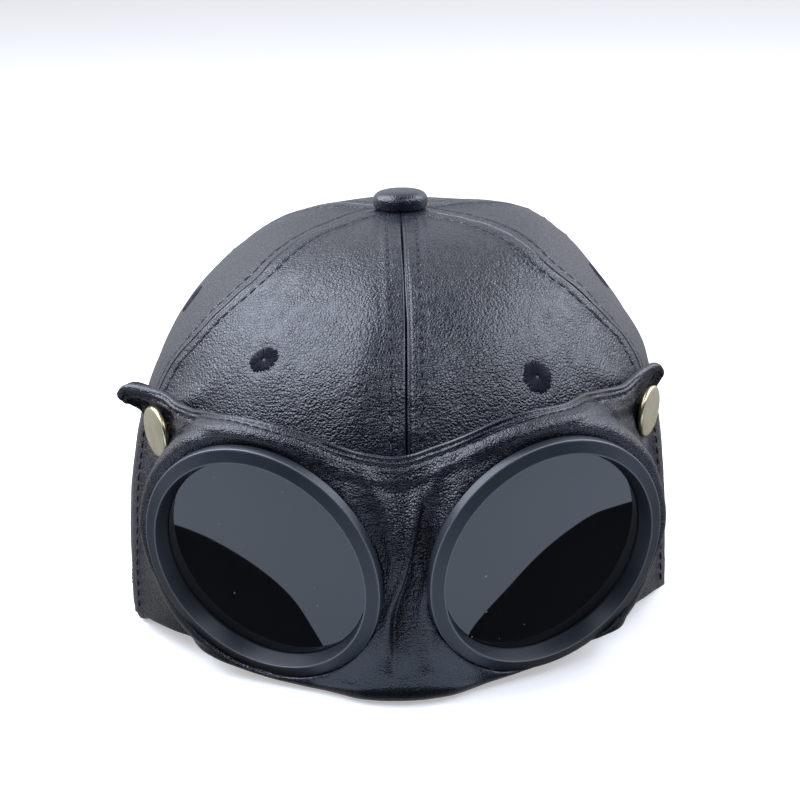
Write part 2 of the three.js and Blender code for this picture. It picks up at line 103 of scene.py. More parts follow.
def point_and_normal(p: Array) -> tuple[Array, Array]:
    """A point and its outward normal, from the point and its neighbours at the left, right, top and bottom."""
    return p[0], unit(np.cross(p[1] - p[2], p[3] - p[4]))


def grid_normals(points: Array) -> Array:
    """Outward normals of a grid whose first axis runs round and second axis runs up."""
    return unit(np.cross(np.gradient(points, axis=0), np.gradient(points, axis=1)))


def arc_lengths(points: Array) -> Array:
    """Length along each row of points, along the second to last axis.

    Args:
        points: Rows of points, with a last axis of three.

    Returns:
        The lengths, from 0 at each row's start.
    """
    steps = np.linalg.norm(np.diff(points, axis=-2), axis=-1)
    zero = np.zeros(steps.shape[:-1] + (1,))
    return np.concatenate([zero, np.cumsum(steps, axis=-1)], axis=-1)


def sample(at: Array, far: Array, points: Array) -> Array:
    """Points at distances along a line, whose own points lie at the rising distances far."""
    return np.stack([np.interp(at, far, points[:, k]) for k in range(3)], axis=-1)


def rounded(distance: Array, radius: float) -> Array:
    """Share of the full thickness at a distance from an edge that is rounded off."""
    t = np.clip(distance / radius, 0, 1)
    return np.sqrt(1 - (1 - t) ** 2)


def edge_steps(length: float, step: float, fine: tuple[float, ...]) -> Array:
    """Places along a length, close together at both ends.

    Args:
        length: The whole length.
        step: Rough spacing in the middle.
        fine: Places near each end, from 0 up.

    Returns:
        Rising places from 0 to length.
    """
    start = np.array(fine)
    count = max(int(round((length - 2 * start[-1]) / step)), 2)
    middle = np.linspace(start[-1], length - start[-1], count + 1)[1:-1]
    return np.concatenate([start, middle, length - start[::-1]])


@dataclass(frozen=True)
class Table:
    """Rows of numbers that are read along a smooth curve through the rows."""

    columns: tuple[str, ...]
    rows: tuple[tuple[float, ...], ...]

    def read(self, at: Array, column: str) -> Array:
        """Value of a column at places along the first column.

        Args:
            at: The places.
            column: The column's name.

        Returns:
            The values there.
        """
        data = np.array(self.rows)
        x, y = data[:, 0], data[:, self.columns.index(column)]
        last = len(x) - 1
        at = np.clip(at, x[0], x[-1])
        k = np.arange(last + 1)
        after, before = np.minimum(k + 1, last), np.maximum(k - 1, 0)
        slope = (y[after] - y[before]) / (x[after] - x[before])
        i = np.clip(np.searchsorted(x, at, side="right") - 1, 0, last - 1)
        span = x[i + 1] - x[i]
        t = (at - x[i]) / span
        bend = slope[i] * span * t * (1 - t) ** 2 - slope[i + 1] * span * t * t * (1 - t)
        return y[i] + (y[i + 1] - y[i]) * t * t * (3 - 2 * t) + bend


@dataclass(frozen=True)
class Fold:
    """A long soft fold or dent of a wall."""

    at: float
    up: float
    turn: float
    long: float
    wide: float
    out: float

    def relief(self, bearing: Array, up: Array, radius: Array) -> Array:
        """How far the fold pushes the wall out.

        Args:
            bearing: Bearings in degrees.
            up: Heights.
            radius: Distances from the upright axis.

        Returns:
            Distances outward, negative in a hollow.
        """
        across = radius * np.radians(bearing - self.at)
        rise = up - self.up
        turn = math.radians(self.turn)
        along = across * math.sin(turn) + rise * math.cos(turn)
        beside = across * math.cos(turn) - rise * math.sin(turn)
        return self.out * np.exp(-((along / self.long) ** 2) - (beside / self.wide) ** 2)


class Noise:
    """Smooth seeded noise in three dimensions, from about -1 to 1."""

    def __init__(self, seed: int) -> None:
        """Draws the lattice.

        Args:
            seed: Seed of the draw.
        """
        rng = np.random.default_rng(seed)
        self.order = np.tile(rng.permutation(256), 2)
        self.slopes = unit(rng.normal(size=(256, 3)))

    def __call__(self, points: Array, size: float | Triple) -> Array:
        """Noise at points.

        Args:
            points: Points, with a last axis of three.
            size: Size of the features, one for all axes or one each.

        Returns:
            One value for each point.
        """
        q = points / np.asarray(size, float)
        cell = np.floor(q).astype(int)
        f = q - cell
        ease = f * f * f * (f * (f * 6 - 15) + 10)
        total = np.zeros(q.shape[:-1])
        for corner in np.ndindex(2, 2, 2):
            c = np.array(corner)
            i = (cell + c) & 255
            pick = self.order[self.order[self.order[i[..., 0]] + i[..., 1]] + i[..., 2]]
            dot = np.sum(self.slopes[pick] * (f - c), axis=-1)
            weight = np.prod(np.where(c == 1, ease, 1 - ease), axis=-1)
            total += weight * dot
        return total * 1.6


WRINKLES = Noise(11)


class Slot(Enum):
    """The record's material slots."""

    CROWN = "crown_leather"
    PEAK = "peak_leather"
    THREAD = "eyelet_thread"
    FRAME = "frame_plastic"
    LENS = "lens_tint"
    STUD = "stud_brass"


SEAM_BEARINGS = Table(
    ("at", "front", "back"),
    ((0, 66, 120), (34, 63, 120), (46, 56, 120), (60, 49.5, 120), (72, 52, 120), (90, 60, 120)),
)

PEAK_EDGES = Table(
    ("at", "bottom", "top", "low", "hem", "roll"),
    (
        (-63.5, 4.0, 73.8, 2.8, 2.8, 3.0),
        (-62.4, 4.2, 76.4, 2.8, 2.8, 3.0),
        (-60, 4.7, 77.4, 2.8, 3.0, 3.0),
        (-56, 5.5, 76.8, 2.8, 3.2, 3.0),
        (-48, 6.5, 74.9, 3.0, 5.0, 3.0),
        (-40, 6.5, 75.8, 3.0, 9.4, 3.0),
        (-32, 3.9, 79.2, 4.3, 16.0, 3.0),
        (-25, 1.7, 81.3, 6.1, 22.0, 3.1),
        (-19, 0.7, 81.0, 8.6, 25.0, 3.5),
        (-14, 0.3, 78.8, 11.0, 25.0, 4.2),
        (-9.5, 0.2, 75.7, 13.3, 23.5, 4.9),
        (-5, 0.1, 72.7, 15.3, 20.5, 5.8),
        (0, 0.1, 71.4, 16.5, 19.0, 6.5),
        (5, 0.3, 74.1, 14.8, 20.8, 5.7),
        (9.5, 0.7, 77.5, 12.5, 24.2, 4.8),
        (14, 1.6, 80.5, 10.0, 26.0, 4.2),
        (19, 2.7, 82.2, 7.7, 25.2, 3.6),
        (25, 4.3, 81.9, 5.5, 21.5, 3.0),
        (32, 7.8, 80.7, 3.6, 15.2, 3.0),
        (40, 10.0, 78.3, 2.8, 8.6, 3.0),
        (49, 9.8, 76.6, 3.0, 5.0, 3.0),
        (57, 9.0, 78.3, 2.8, 3.2, 3.0),
        (60, 8.4, 78.9, 2.8, 3.0, 3.0),
        (62.4, 7.8, 78.2, 2.8, 2.8, 3.0),
        (63.5, 7.5, 75.6, 2.8, 2.8, 3.0),
    ),
)

GROOVE = Table(
    ("at", "edge", "width", "depth"),
    (
        (10, -4.0, 8.0, 0.0),
        (16, -4.3, 8.0, 1.6),
        (23, -4.4, 7.6, 3.4),
        (30, -3.2, 6.6, 4.4),
        (38, -0.4, 5.8, 4.8),
        (45, 1.4, 5.8, 4.4),
        (54, 3.3, 6.2, 3.0),
        (60, 4.4, 7.4, 1.3),
        (66, 5.0, 8.0, 0.0),
    ),
)


@dataclass(frozen=True)
class CrownForm:
    """The crown's outer surface before its seams are dressed."""

    front: float = 91.5
    left: float = 83.0
    back: float = 106.0
    right: float = 87.2
    height: float = 118.0
    rim_power: float = 2.1
    full_front: float = 2.9
    full_left: float = 3.3
    full_back: float = 2.45
    full_right: float = 2.65
    ridge_rim: float = 0.006
    ridge_top: float = 0.05
    ridge_mean: float = 0.36
    skirt_height: float = 1.6
    skirt_width: float = 11.0
    fold_fade: float = 40.0
    top_hole: float = 2.6
    rim_clearance: float = 1.8
    rim_arch_to: float = 52.0
    rim_arch_left: float = 82.0
    rim_arch_right: float = 67.0
    lean: float = 1.7
    tuck_left: float = 4.6
    tuck_right: float = 0.3
    tent_left: float = 0.9
    tent_right: float = 2.0
    tent_sides: Pair = (-14, 14)
    tent_front: Pair = (-20, 12)
    tent_inside: Pair = (6, 22)
    tent_outside: Pair = (34, 66)
    shoulder_left: float = 74
    shoulder_right: float = 60
    shoulder_height: float = 24
    shoulder_top: Pair = (106, 117)
    shoulder_inside: Pair = (5, 30)
    lean_heights: Pair = (62, 112)
    seam_turn: float = 1.1
    folds: tuple[Fold, ...] = (
        Fold(1.0, 92, 0, 34, 5.5, -1.7),
        Fold(-9, 94, 3, 28, 6, 0.9),
        Fold(11, 90, -6, 26, 7, -0.5),
        Fold(-52, 72, 55, 14, 4, 1.2),
        Fold(50, 76, -50, 16, 5, 1.0),
        Fold(-100, 40, 20, 26, 9, -1.4),
        Fold(104, 44, -16, 28, 9, -1.2),
        Fold(150, 58, 60, 24, 8, -1.2),
        Fold(-146, 46, -50, 24, 8, -1.2),
    )

    def rim_radius(self, bearing: Array) -> Array:
        """Radius of the rim's oval.

        Args:
            bearing: Bearings in degrees.

        Returns:
            Radii.
        """
        s, c = np.sin(np.radians(bearing)), np.cos(np.radians(bearing))
        across = np.abs(s / np.where(s > 0, self.left, self.right)) ** self.rim_power
        along = np.abs(c / np.where(c > 0, self.front, self.back)) ** self.rim_power
        return (across + along) ** (-1 / self.rim_power)

    def fullness(self, bearing: Array) -> Array:
        """Power of the upright profile.

        Args:
            bearing: Bearings in degrees.

        Returns:
            Powers.
        """
        s, c = np.sin(np.radians(bearing)), np.cos(np.radians(bearing))
        length = np.where(c > 0, self.full_front, self.full_back)
        width = np.where(s > 0, self.full_left, self.full_right)
        return length * c * c + width * s * s

    def seam_bearing(self, number: Array, climb: Array) -> Array:
        """Bearing of a seam, or of a place between two seams.

        Args:
            number: Seam numbers from -3 to 3, with 0 at the front.
            climb: Climb angles in radians.

        Returns:
            Bearings in degrees.
        """
        number, climb = np.broadcast_arrays(number, climb)
        steep = np.degrees(climb)
        size = np.abs(number)
        front, back = (SEAM_BEARINGS.read(steep, column) for column in ("front", "back"))
        first = front * size
        second = lerp(front, back, size - 1)
        third = lerp(back, 180.0, size - 2)
        turn = self.seam_turn * np.cos(climb) * np.clip(1 - size, 0, 1)
        return np.sign(number) * np.where(size < 1, first, np.where(size < 2, second, third)) + turn

    def seam_number(self, bearing: Array, climb: Array) -> Array:
        """The reverse of seam_bearing, without the sign.

        Args:
            bearing: Bearings in degrees.
            climb: Climb angles in radians.

        Returns:
            Seam numbers from 0 to 3.
        """
        size, climb = np.broadcast_arrays(np.abs(bearing), climb)
        steep = np.degrees(climb)
        front, back = (SEAM_BEARINGS.read(steep, column) for column in ("front", "back"))
        low = size / front
        middle = 1 + (size - front) / (back - front)
        high = 2 + (size - back) / (180 - back)
        return np.where(size < front, low, np.where(size < back, middle, high))

    def ridge(self, bearing: Array, climb: Array, rise: Array) -> Array:
        """How far the wall stands out along the seams, as a factor.

        Args:
            bearing: Bearings in degrees.
            climb: Climb angles in radians.
            rise: Heights as shares of the crown's own.

        Returns:
            Factors of the radius.
        """
        size = lerp(self.ridge_rim, self.ridge_top, rise**2)
        between = np.abs(np.sin(np.pi * self.seam_number(bearing, climb)))
        return 1 + size * (1 - between - self.ridge_mean)

    def relief(self, bearing: Array, up: Array, radius: Array) -> Array:
        """Depth of all the folds."""
        return sum(fold.relief(bearing, up, radius) for fold in self.folds)

    def point(self, bearing: Array, climb: Array) -> Array:
        """Points of the surface at bearings and climbs.

        Args:
            bearing: Bearings in degrees.
            climb: Climb angles in radians.

        Returns:
            Points, with a last axis of three.
        """
        power = 2 / self.fullness(bearing)
        rise = np.sin(climb) ** power
        plain = self.rim_radius(bearing) * np.cos(climb) ** power * self.ridge(bearing, climb, rise)
        up = self.height * rise
        radius = plain + self.relief(bearing, up, plain) * smoothstep(plain, 0, self.fold_fade)
        skirt = self.skirt_height * np.exp(-((radius / self.skirt_width) ** 2))
        return self.settle(place(bearing, radius, up + skirt))

    def settle(self, points: Array) -> Array:
        """Leans the top to the left, draws the shoulders in and lifts the top behind the button.

        Args:
            points: Points of the plain surface.

        Returns:
            The points as they have settled.
        """
        x, y, z = points[..., 0], points[..., 1], points[..., 2]
        far = np.hypot(x, y)
        side = x / np.maximum(far, 1e-6)
        low = np.where(x > 0, self.shoulder_left, self.shoulder_right)
        tuck = np.where(x > 0, self.tuck_left, self.tuck_right) * side**2
        tuck = tuck * smoothstep((z - low) / self.shoulder_height, 0, 1)
        tuck = tuck * (1 - smoothstep(z, *self.shoulder_top)) * smoothstep(far, *self.shoulder_inside)
        tent = lerp(self.tent_right, self.tent_left, smoothstep(x, *self.tent_sides))
        tent = tent * smoothstep(y, *self.tent_front)
        tent = tent * smoothstep(far, *self.tent_inside) * (1 - smoothstep(far, *self.tent_outside))
        scale = 1 - tuck / np.maximum(far, 1e-6)
        lean = self.lean * smoothstep(z, *self.lean_heights)
        return np.stack([x * scale + lean, y * scale, z + tent], axis=-1)

    def radius_at(self, bearing: Array, up: Array) -> Array:
        """Radius of the surface at bearings and heights.

        Args:
            bearing: Bearings in degrees.
            up: Heights.

        Returns:
            Radii.
        """
        n = self.fullness(bearing)
        rise = np.minimum(up / self.height, 0.999)
        ridge = self.ridge(bearing, np.arcsin(rise ** (n / 2)), rise)
        plain = self.rim_radius(bearing) * (1 - rise**n) ** (1 / n) * ridge
        return plain + self.relief(bearing, up, plain)

    def rim_height(self, bearing: Array) -> Array:
        """Height of the rim, which arches up over the fold of the peak.

        Args:
            bearing: Bearings in degrees.

        Returns:
            Heights.
        """
        over = PEAK_EDGES.read(bearing, "bottom") + LEATHER + self.rim_clearance
        size = np.abs(bearing)
        left = smoothstep(size, self.rim_arch_to, self.rim_arch_left)
        right = smoothstep(size, self.rim_arch_to, self.rim_arch_right)
        return over * (1 - np.where(np.asarray(bearing) > 0, left, right))

    def climb_at(self, bearing: Array, up: Array) -> Array:
        """Climb at which the profile reaches a height."""
        return np.arcsin((up / self.height) ** (self.fullness(bearing) / 2))

    def climb_in(self, bearing: Array, radius: float) -> Array:
        """Climb at which the profile comes in to a radius."""
        return np.arccos((radius / self.rim_radius(bearing)) ** (self.fullness(bearing) / 2))

    def seat(self, bearing: float, up: float) -> tuple[Array, Array]:
        """A point of the surface and its outward normal.

        Args:
            bearing: Bearing in degrees.
            up: Height.

        Returns:
            The point and the normal.
        """
        climb = self.climb_at(bearing, up)
        b = bearing + np.array([0.0, 0.5, -0.5, 0.0, 0.0])
        c = climb + np.array([0.0, 0.0, 0.0, 0.01, -0.01])
        return point_and_normal(self.point(b, c))


CROWN = CrownForm()


@dataclass(frozen=True)
class Seat:
    """The flat seat of one goggle: where its face is, and how it is turned."""

    side: str
    x: float
    y: float = -98.3
    z: float = 38.8
    yaw: float = 26.4
    tilt: float = -12.5
    depth: float = 4.3

    def axes(self) -> tuple[Array, Array, Array, Array]:
        """Outward sideways, upward and forward directions of the seat, and the middle of the face.

        Returns:
            The three directions and the point.
        """
        sign = SIDES[self.side]
        yaw, tilt = math.radians(self.yaw * sign), math.radians(self.tilt)
        across = np.array([math.cos(yaw), math.sin(yaw), 0.0])
        axis = np.array([math.sin(yaw) * math.cos(tilt), -math.cos(yaw) * math.cos(tilt), math.sin(tilt)])
        return across * sign, np.cross(axis, across), axis, np.array([self.x, self.y, self.z])

    def matrix(self) -> Matrix:
        """Places a mesh whose axis is Z on the seat, in millimetres.

        Returns:
            The matrix.
        """
        across, upward, axis, centre = self.axes()
        across = np.cross(upward, axis)
        m = Matrix.Identity(4)
        for row in range(3):
            m[row][0], m[row][1], m[row][2], m[row][3] = across[row], upward[row], axis[row], centre[row]
        return m

    def local(self, points: Array) -> tuple[Array, Array, Array]:
        """Outward, upward and forward distances of points from the middle of the face.

        Args:
            points: The points.

        Returns:
            The three distances of each.
        """
        across, upward, axis, centre = self.axes()
        off = points - centre
        return off @ across, off @ upward, off @ axis


SEATS = (Seat("left", 40.1), Seat("right", -40.1))


@dataclass(frozen=True)
class PeakForm:
    """The turned-up peak's outer surface before its edges and folds are dressed."""

    end: float = 63.5
    roll_from: float = 34.0
    roll_to: float = 48.0
    bridge: float = 19.5
    bridge_at: float = 22.0
    temple: float = 2.8
    temple_at: float = 58.0
    hem_depth: float = 22.0
    low_from: float = 8.0
    low_to: float = 26.0
    flat: float = 37.0
    flat_inner: float = 34.0
    blend_up: float = 9.0
    blend_down: float = 7.0
    blend_out: float = 14.0
    blend_in: float = 9.0
    lip_rise: float = 4.2
    lip_inside: float = 25.0
    lip_highest: float = -0.3
    lip_lowest: float = -0.8
    neck: float = 32.2
    ear_from: float = 50.0
    ear_rise: float = 9.0
    ear_left: float = 5.0
    ear_right: float = 10.5
    bridge_left: float = 0.8
    bridge_right: float = 0.7
    bridge_blur: Profile = ((-4.5, 0.12), (-2.4, 0.23), (0.0, 0.3), (2.4, 0.23), (4.5, 0.12))

    def seat_surface(self, seat: Seat, bearing: Array, up: Array) -> tuple[Array, Array]:
        """Where the leather lies as the seat of a frame.

        Args:
            seat: The seat.
            bearing: Bearings in degrees.
            up: Heights.

        Returns:
            The radii, and the share that the leather follows them.
        """
        across, upward, axis, centre = seat.axes()
        behind = centre - axis * seat.depth
        ray = place(bearing, 1.0, 0.0)
        start = np.stack([np.zeros_like(up), np.zeros_like(up), up], axis=-1)
        radius = np.sum((behind - start) * axis, axis=-1) / np.sum(ray * axis, axis=-1)
        off = start + ray * radius[..., None] - behind
        out, rise = off @ across, off @ upward
        far = np.maximum(np.hypot(out, rise), 1e-6)
        sideways = np.where(out > 0, self.blend_out, self.blend_in) * (out / far) ** 2
        upright = np.where(rise > 0, self.blend_up, self.blend_down) * (rise / far) ** 2
        below = 1 - smoothstep(rise / far, self.lip_lowest, self.lip_highest)
        lip = self.lip_rise * below * smoothstep(far, self.lip_inside, self.neck)
        inner = smoothstep(-out / far, 0.15, 0.6) * smoothstep(rise / far, -0.1, 0.35)
        t = np.clip((far - lerp(self.flat, self.flat_inner, inner)) / (sideways + upright), 0, 1)
        return radius + lip, 1 - t * t * (3 - 2 * t)

    def standoff(self, bearing: Array, up: Array) -> Array:
        """How far the loose sheet stands off the crown.

        Args:
            bearing: Bearings in degrees.
            up: Heights.

        Returns:
            Distances.
        """
        turn = np.abs(bearing)
        top = PEAK_EDGES.read(bearing, "top")
        middle = lerp(self.bridge, self.temple, smoothstep(turn, self.bridge_at, self.temple_at))
        low, hem = PEAK_EDGES.read(bearing, "low"), PEAK_EDGES.read(bearing, "hem")
        lower = lerp(low, middle, smoothstep(up, self.low_from, self.low_to))
        plain = lerp(lower, hem, smoothstep(up - top, -self.hem_depth, 0))
        flare = np.where(np.asarray(bearing) > 0, self.ear_left, self.ear_right)
        return plain + flare * smoothstep(turn, self.ear_from, self.end) * smoothstep(up - top, -self.ear_rise, 0)

    def radius(self, bearing: Array, up: Array) -> Array:
        """Radius of the sheet at bearings and heights, with the bridge softened and creased.

        Args:
            bearing: Bearings in degrees.
            up: Heights.

        Returns:
            Radii.
        """
        bearing, up = np.broadcast_arrays(np.asarray(bearing, float), np.asarray(up, float))
        plain = self.sheet(bearing, up)
        soft = sum(weight * self.sheet(bearing + away, up) for away, weight in self.bridge_blur)
        plain = lerp(soft, plain, smoothstep(np.abs(bearing), 3.0, 8.0))
        return plain + self.groove(plain * np.sin(np.radians(bearing)), up) * (np.abs(bearing) < 40)

    def sheet(self, bearing: Array, up: Array) -> Array:
        """Radius of the sheet before the bridge is softened.

        Args:
            bearing: Bearings in degrees.
            up: Heights.

        Returns:
            Radii.
        """
        loose = CROWN.radius_at(bearing, up) + self.standoff(bearing, up)
        left, left_share = self.seat_surface(SEATS[0], bearing, up)
        right, right_share = self.seat_surface(SEATS[1], bearing, up)
        seat = np.where(bearing > 0, left, right)
        share = np.where(bearing > 0, left_share, right_share)
        return lerp(loose, seat, share)

    def groove(self, x: Array, up: Array) -> Array:
        """The deep upright crease between the goggles, with a raised lip on either side.

        Args:
            x: Distances to the left.
            up: Heights.

        Returns:
            Distances outward, negative in the crease.
        """
        edge, width = GROOVE.read(up, "edge"), GROOVE.read(up, "width")
        depth = GROOVE.read(up, "depth")
        t = (x - edge) / width
        crease = -depth * smoothstep(t, -0.05, 0.16) * (1 - np.clip((t - 0.12) / 0.98, 0, 1))
        right = self.bridge_right * (bump(t, -0.12, 0.15) + bump(t, -0.1, 0.7))
        return crease + (right + self.bridge_left * bump(t, 1.3, 0.34)) * depth / 3

    def section(self, bearing: Array, under: int = 12, roll: int = 26, face: int = 200) -> Array:
        """Upright sections, from under the crown's rim round the fold and up to the free edge.

        Args:
            bearing: One bearing for each section.
            under: Steps of the part under the rim.
            roll: Steps round the fold.
            face: Steps up the face.

        Returns:
            Points, first by section and then along it.
        """
        b = np.asarray(bearing, float)[:, None]
        bottom, top = PEAK_EDGES.read(b, "bottom"), PEAK_EDGES.read(b, "top")
        radius = PEAK_EDGES.read(b, "roll")
        share = 1 - smoothstep(np.abs(b), self.roll_from, self.roll_to)
        sweep = np.pi / 2 * share
        centre_up = bottom + radius * np.sin(sweep)
        centre_out = self.radius(b, centre_up) - radius
        reach = (centre_out - (CROWN.radius_at(b, centre_up) - LEATHER)) * share**3
        heel = centre_out + radius * np.cos(sweep)
        k = np.linspace(1, 0, under + 1)[None, :-1]
        tuck = place(b, heel - np.sin(sweep) * reach * k, bottom - np.cos(sweep) * reach * k)
        turn = -sweep * (1 - np.linspace(0, 1, roll + 1)[None, :-1])
        fold = place(b, centre_out + radius * np.cos(turn), centre_up + radius * np.sin(turn))
        up = lerp(centre_up, top, np.linspace(0, 1, face + 1)[None, :])
        return np.concatenate([tuck, fold, place(b, self.radius(b, up), up)], axis=1)

    def seat_of(self, bearing: float, up: float) -> tuple[Array, Array]:
        """A point of the sheet and its outward normal.

        Args:
            bearing: Bearing in degrees.
            up: Height.

        Returns:
            The point and the normal.
        """
        b = bearing + np.array([0.0, 1.0, -1.0, 0.0, 0.0])
        z = up + np.array([0.0, 0.0, 0.0, 1.0, -1.0])
        return point_and_normal(place(b, self.radius(b, z), z))


PEAK = PeakForm()


def to_metres(points: Array) -> Array:
    """Points of the forms, moved to the part's frame."""
    return (points + ORIGIN_SHIFT) * MM


def put_in_scene(name: str, data: bpy.types.ID) -> bpy.types.Object:
    """Makes an object of some data and links it.

    Args:
        name: Its name.
        data: Its mesh, lamp or camera.

    Returns:
        The object.
    """
    piece = bpy.data.objects.new(name, data)
    bpy.context.scene.collection.objects.link(piece)
    return piece


def mesh_object(name: str, points: Array, faces: Array | list) -> bpy.types.Object:
    """Makes a smooth mesh object at the origin.

    Args:
        name: The piece's name.
        points: Points in the forms' millimetres.
        faces: Corner numbers of each face.

    Returns:
        The object.
    """
    mesh = bpy.data.meshes.new(name)
    mesh.from_pydata(to_metres(points).tolist(), [], [list(map(int, f)) for f in faces])
    mesh.polygons.foreach_set("use_smooth", np.full(len(mesh.polygons), True))
    return put_in_scene(name, mesh)


@contextmanager
def editing(piece: bpy.types.Object) -> Iterator[bmesh.types.BMesh]:
    """Gives a piece's mesh for editing and writes it back.

    Args:
        piece: The piece.

    Returns:
        The mesh to edit, which is written back when the with block ends.
    """
    work = bmesh.new()
    work.from_mesh(piece.data)
    yield work
    work.to_mesh(piece.data)
    work.free()


def millimetres(piece: bpy.types.Object) -> Array:
    """A piece's points in the forms' millimetres."""
    return np.array([v.co for v in piece.data.vertices]) / MM - ORIGIN_SHIFT


def grid_faces(columns: int, rows: int, start: int = 0) -> Array:
    """Outward faces of a grid of points whose first axis runs round and second runs up.

    Args:
        columns: Points round.
        rows: Points up.
        start: Number of the first point.

    Returns:
        Corner numbers of each face.
    """
    i, j = np.meshgrid(np.arange(columns - 1), np.arange(rows - 1), indexing="ij")
    a = start + i * rows + j
    return np.stack([a, a + rows, a + rows + 1, a + 1], axis=-1).reshape(-1, 4)


def weld(piece: bpy.types.Object) -> None:
    """Joins the points of a mesh that lie on each other."""
    with editing(piece) as work:
        bmesh.ops.remove_doubles(work, verts=work.verts, dist=WELD)


def paint(piece: bpy.types.Object, name: str, values: Array) -> None:
    """Stores one number for each point as an attribute of the mesh."""
    layer = piece.data.attributes.new(name, "FLOAT", "POINT")
    layer.data.foreach_set("value", np.asarray(values, np.float32).ravel())


@dataclass
class Shell:
    """A wall with rounded edges, between an outer and an inner grid that meet all round the border."""

    name: str
    outer: Array
    inner: Array
    wear_and_highlight: Array
    keep: Array | None = None

    def build(self) -> bpy.types.Object:
        """Makes the closed mesh, with the inner wall in its second material slot.

        Returns:
            The object.
        """
        columns, rows = self.outer.shape[:2]
        count, front = columns * rows, grid_faces(columns, rows)
        back = grid_faces(columns, rows, count)[:, ::-1]
        if self.keep is not None:
            kept = self.keep.reshape(-1)
            front, back = front[kept], back[kept]
        points = np.concatenate([self.outer.reshape(-1, 3), self.inner.reshape(-1, 3)])
        piece = mesh_object(self.name, points, np.concatenate([front, back]).tolist())
        paint(piece, "wear_and_highlight", np.concatenate([self.wear_and_highlight.reshape(-1), np.zeros(count)]))
        slots = np.concatenate([np.zeros(len(front), int), np.ones(len(back), int)])
        piece.data.polygons.foreach_set("material_index", slots)
        self.close_holes(piece, count)
        weld(piece)
        return piece

    def close_holes(self, piece: bpy.types.Object, count: int) -> None:
        """Joins both grids round each hole that keep leaves, and drops loose points.

        Args:
            piece: The object.
            count: How many points each grid has.
        """
        if self.keep is None:
            return
        columns, rows = self.outer.shape[:2]
        with editing(piece) as work:
            work.verts.ensure_lookup_table()
            for edge in [e for e in work.edges if e.is_boundary and e.verts[0].index < count]:
                places = [divmod(v.index, rows) for v in edge.verts]
                if all(0 < i < columns - 1 and 0 < j < rows - 1 for i, j in places):
                    loop = edge.link_loops[0]
                    first, second = loop.vert, loop.link_loop_next.vert
                    below = [work.verts[v.index + count] for v in (first, second)]
                    work.faces.new((second, first, *below)).smooth = True
            bmesh.ops.delete(work, geom=[v for v in work.verts if not v.link_faces], context="VERTS")


def add_edit(name: str, points: list[Triple], closed: bool) -> bpy.types.Object:
    """Starts a piece from a line of points and enters edit mode with all of it selected.

    Args:
        name: The piece's name.
        points: The line's points, in metres.
        closed: Whether the line closes on itself.

    Returns:
        The object, in edit mode.
    """
    bpy.ops.object.select_all(action="DESELECT")
    edges = [(i, i + 1) for i in range(len(points) - 1)] + [(len(points) - 1, 0)] * closed
    mesh = bpy.data.meshes.new(name)
    mesh.from_pydata(points, edges, [])
    piece = put_in_scene(name, mesh)
    bpy.context.view_layer.objects.active = piece
    piece.select_set(True)
    bpy.ops.object.mode_set(mode="EDIT")
    bpy.ops.mesh.select_mode(type="VERT")
    bpy.ops.mesh.select_all(action="SELECT")
    return piece


def spun(name: str, profile: Profile, matrix: Matrix, segments: int, angle: float) -> bpy.types.Object:
    """Spins a profile of radius and height about Z and moves the mesh onto its seat.

    Args:
        name: The piece's name.
        profile: Pairs of radius and height in millimetres, counter-clockwise.
        matrix: Place of the piece, in millimetres.
        segments: Steps round.
        angle: Edges sharper than this stay crisp.

    Returns:
        The object, at the origin.
    """
    closed = profile[0][0] > 0
    piece = add_edit(name, [(radius * MM, 0.0, height * MM) for radius, height in profile], closed)
    bpy.ops.mesh.spin(steps=segments, angle=2 * math.pi, center=(0, 0, 0), axis=(0, 0, 1))
    bpy.ops.mesh.select_all(action="SELECT")
    bpy.ops.mesh.remove_doubles(threshold=1e-6)
    bpy.ops.mesh.normals_make_consistent(inside=False)
    bpy.ops.object.mode_set(mode="OBJECT")
    bpy.ops.object.shade_smooth_by_angle(angle=math.radians(angle))
    shift = Matrix.Translation(Vector(ORIGIN_SHIFT * MM))
    piece.data.transform(shift @ Matrix.Scale(MM, 4) @ matrix @ Matrix.Scale(1 / MM, 4))
    return piece


def seat_matrix(point: Array, normal: Array) -> Matrix:
    """Matrix that turns Z onto a normal and moves the origin to a point."""
    turn = Vector((0, 0, 1)).rotation_difference(Vector(normal)).to_matrix().to_4x4()
    return Matrix.Translation(Vector(point)) @ turn


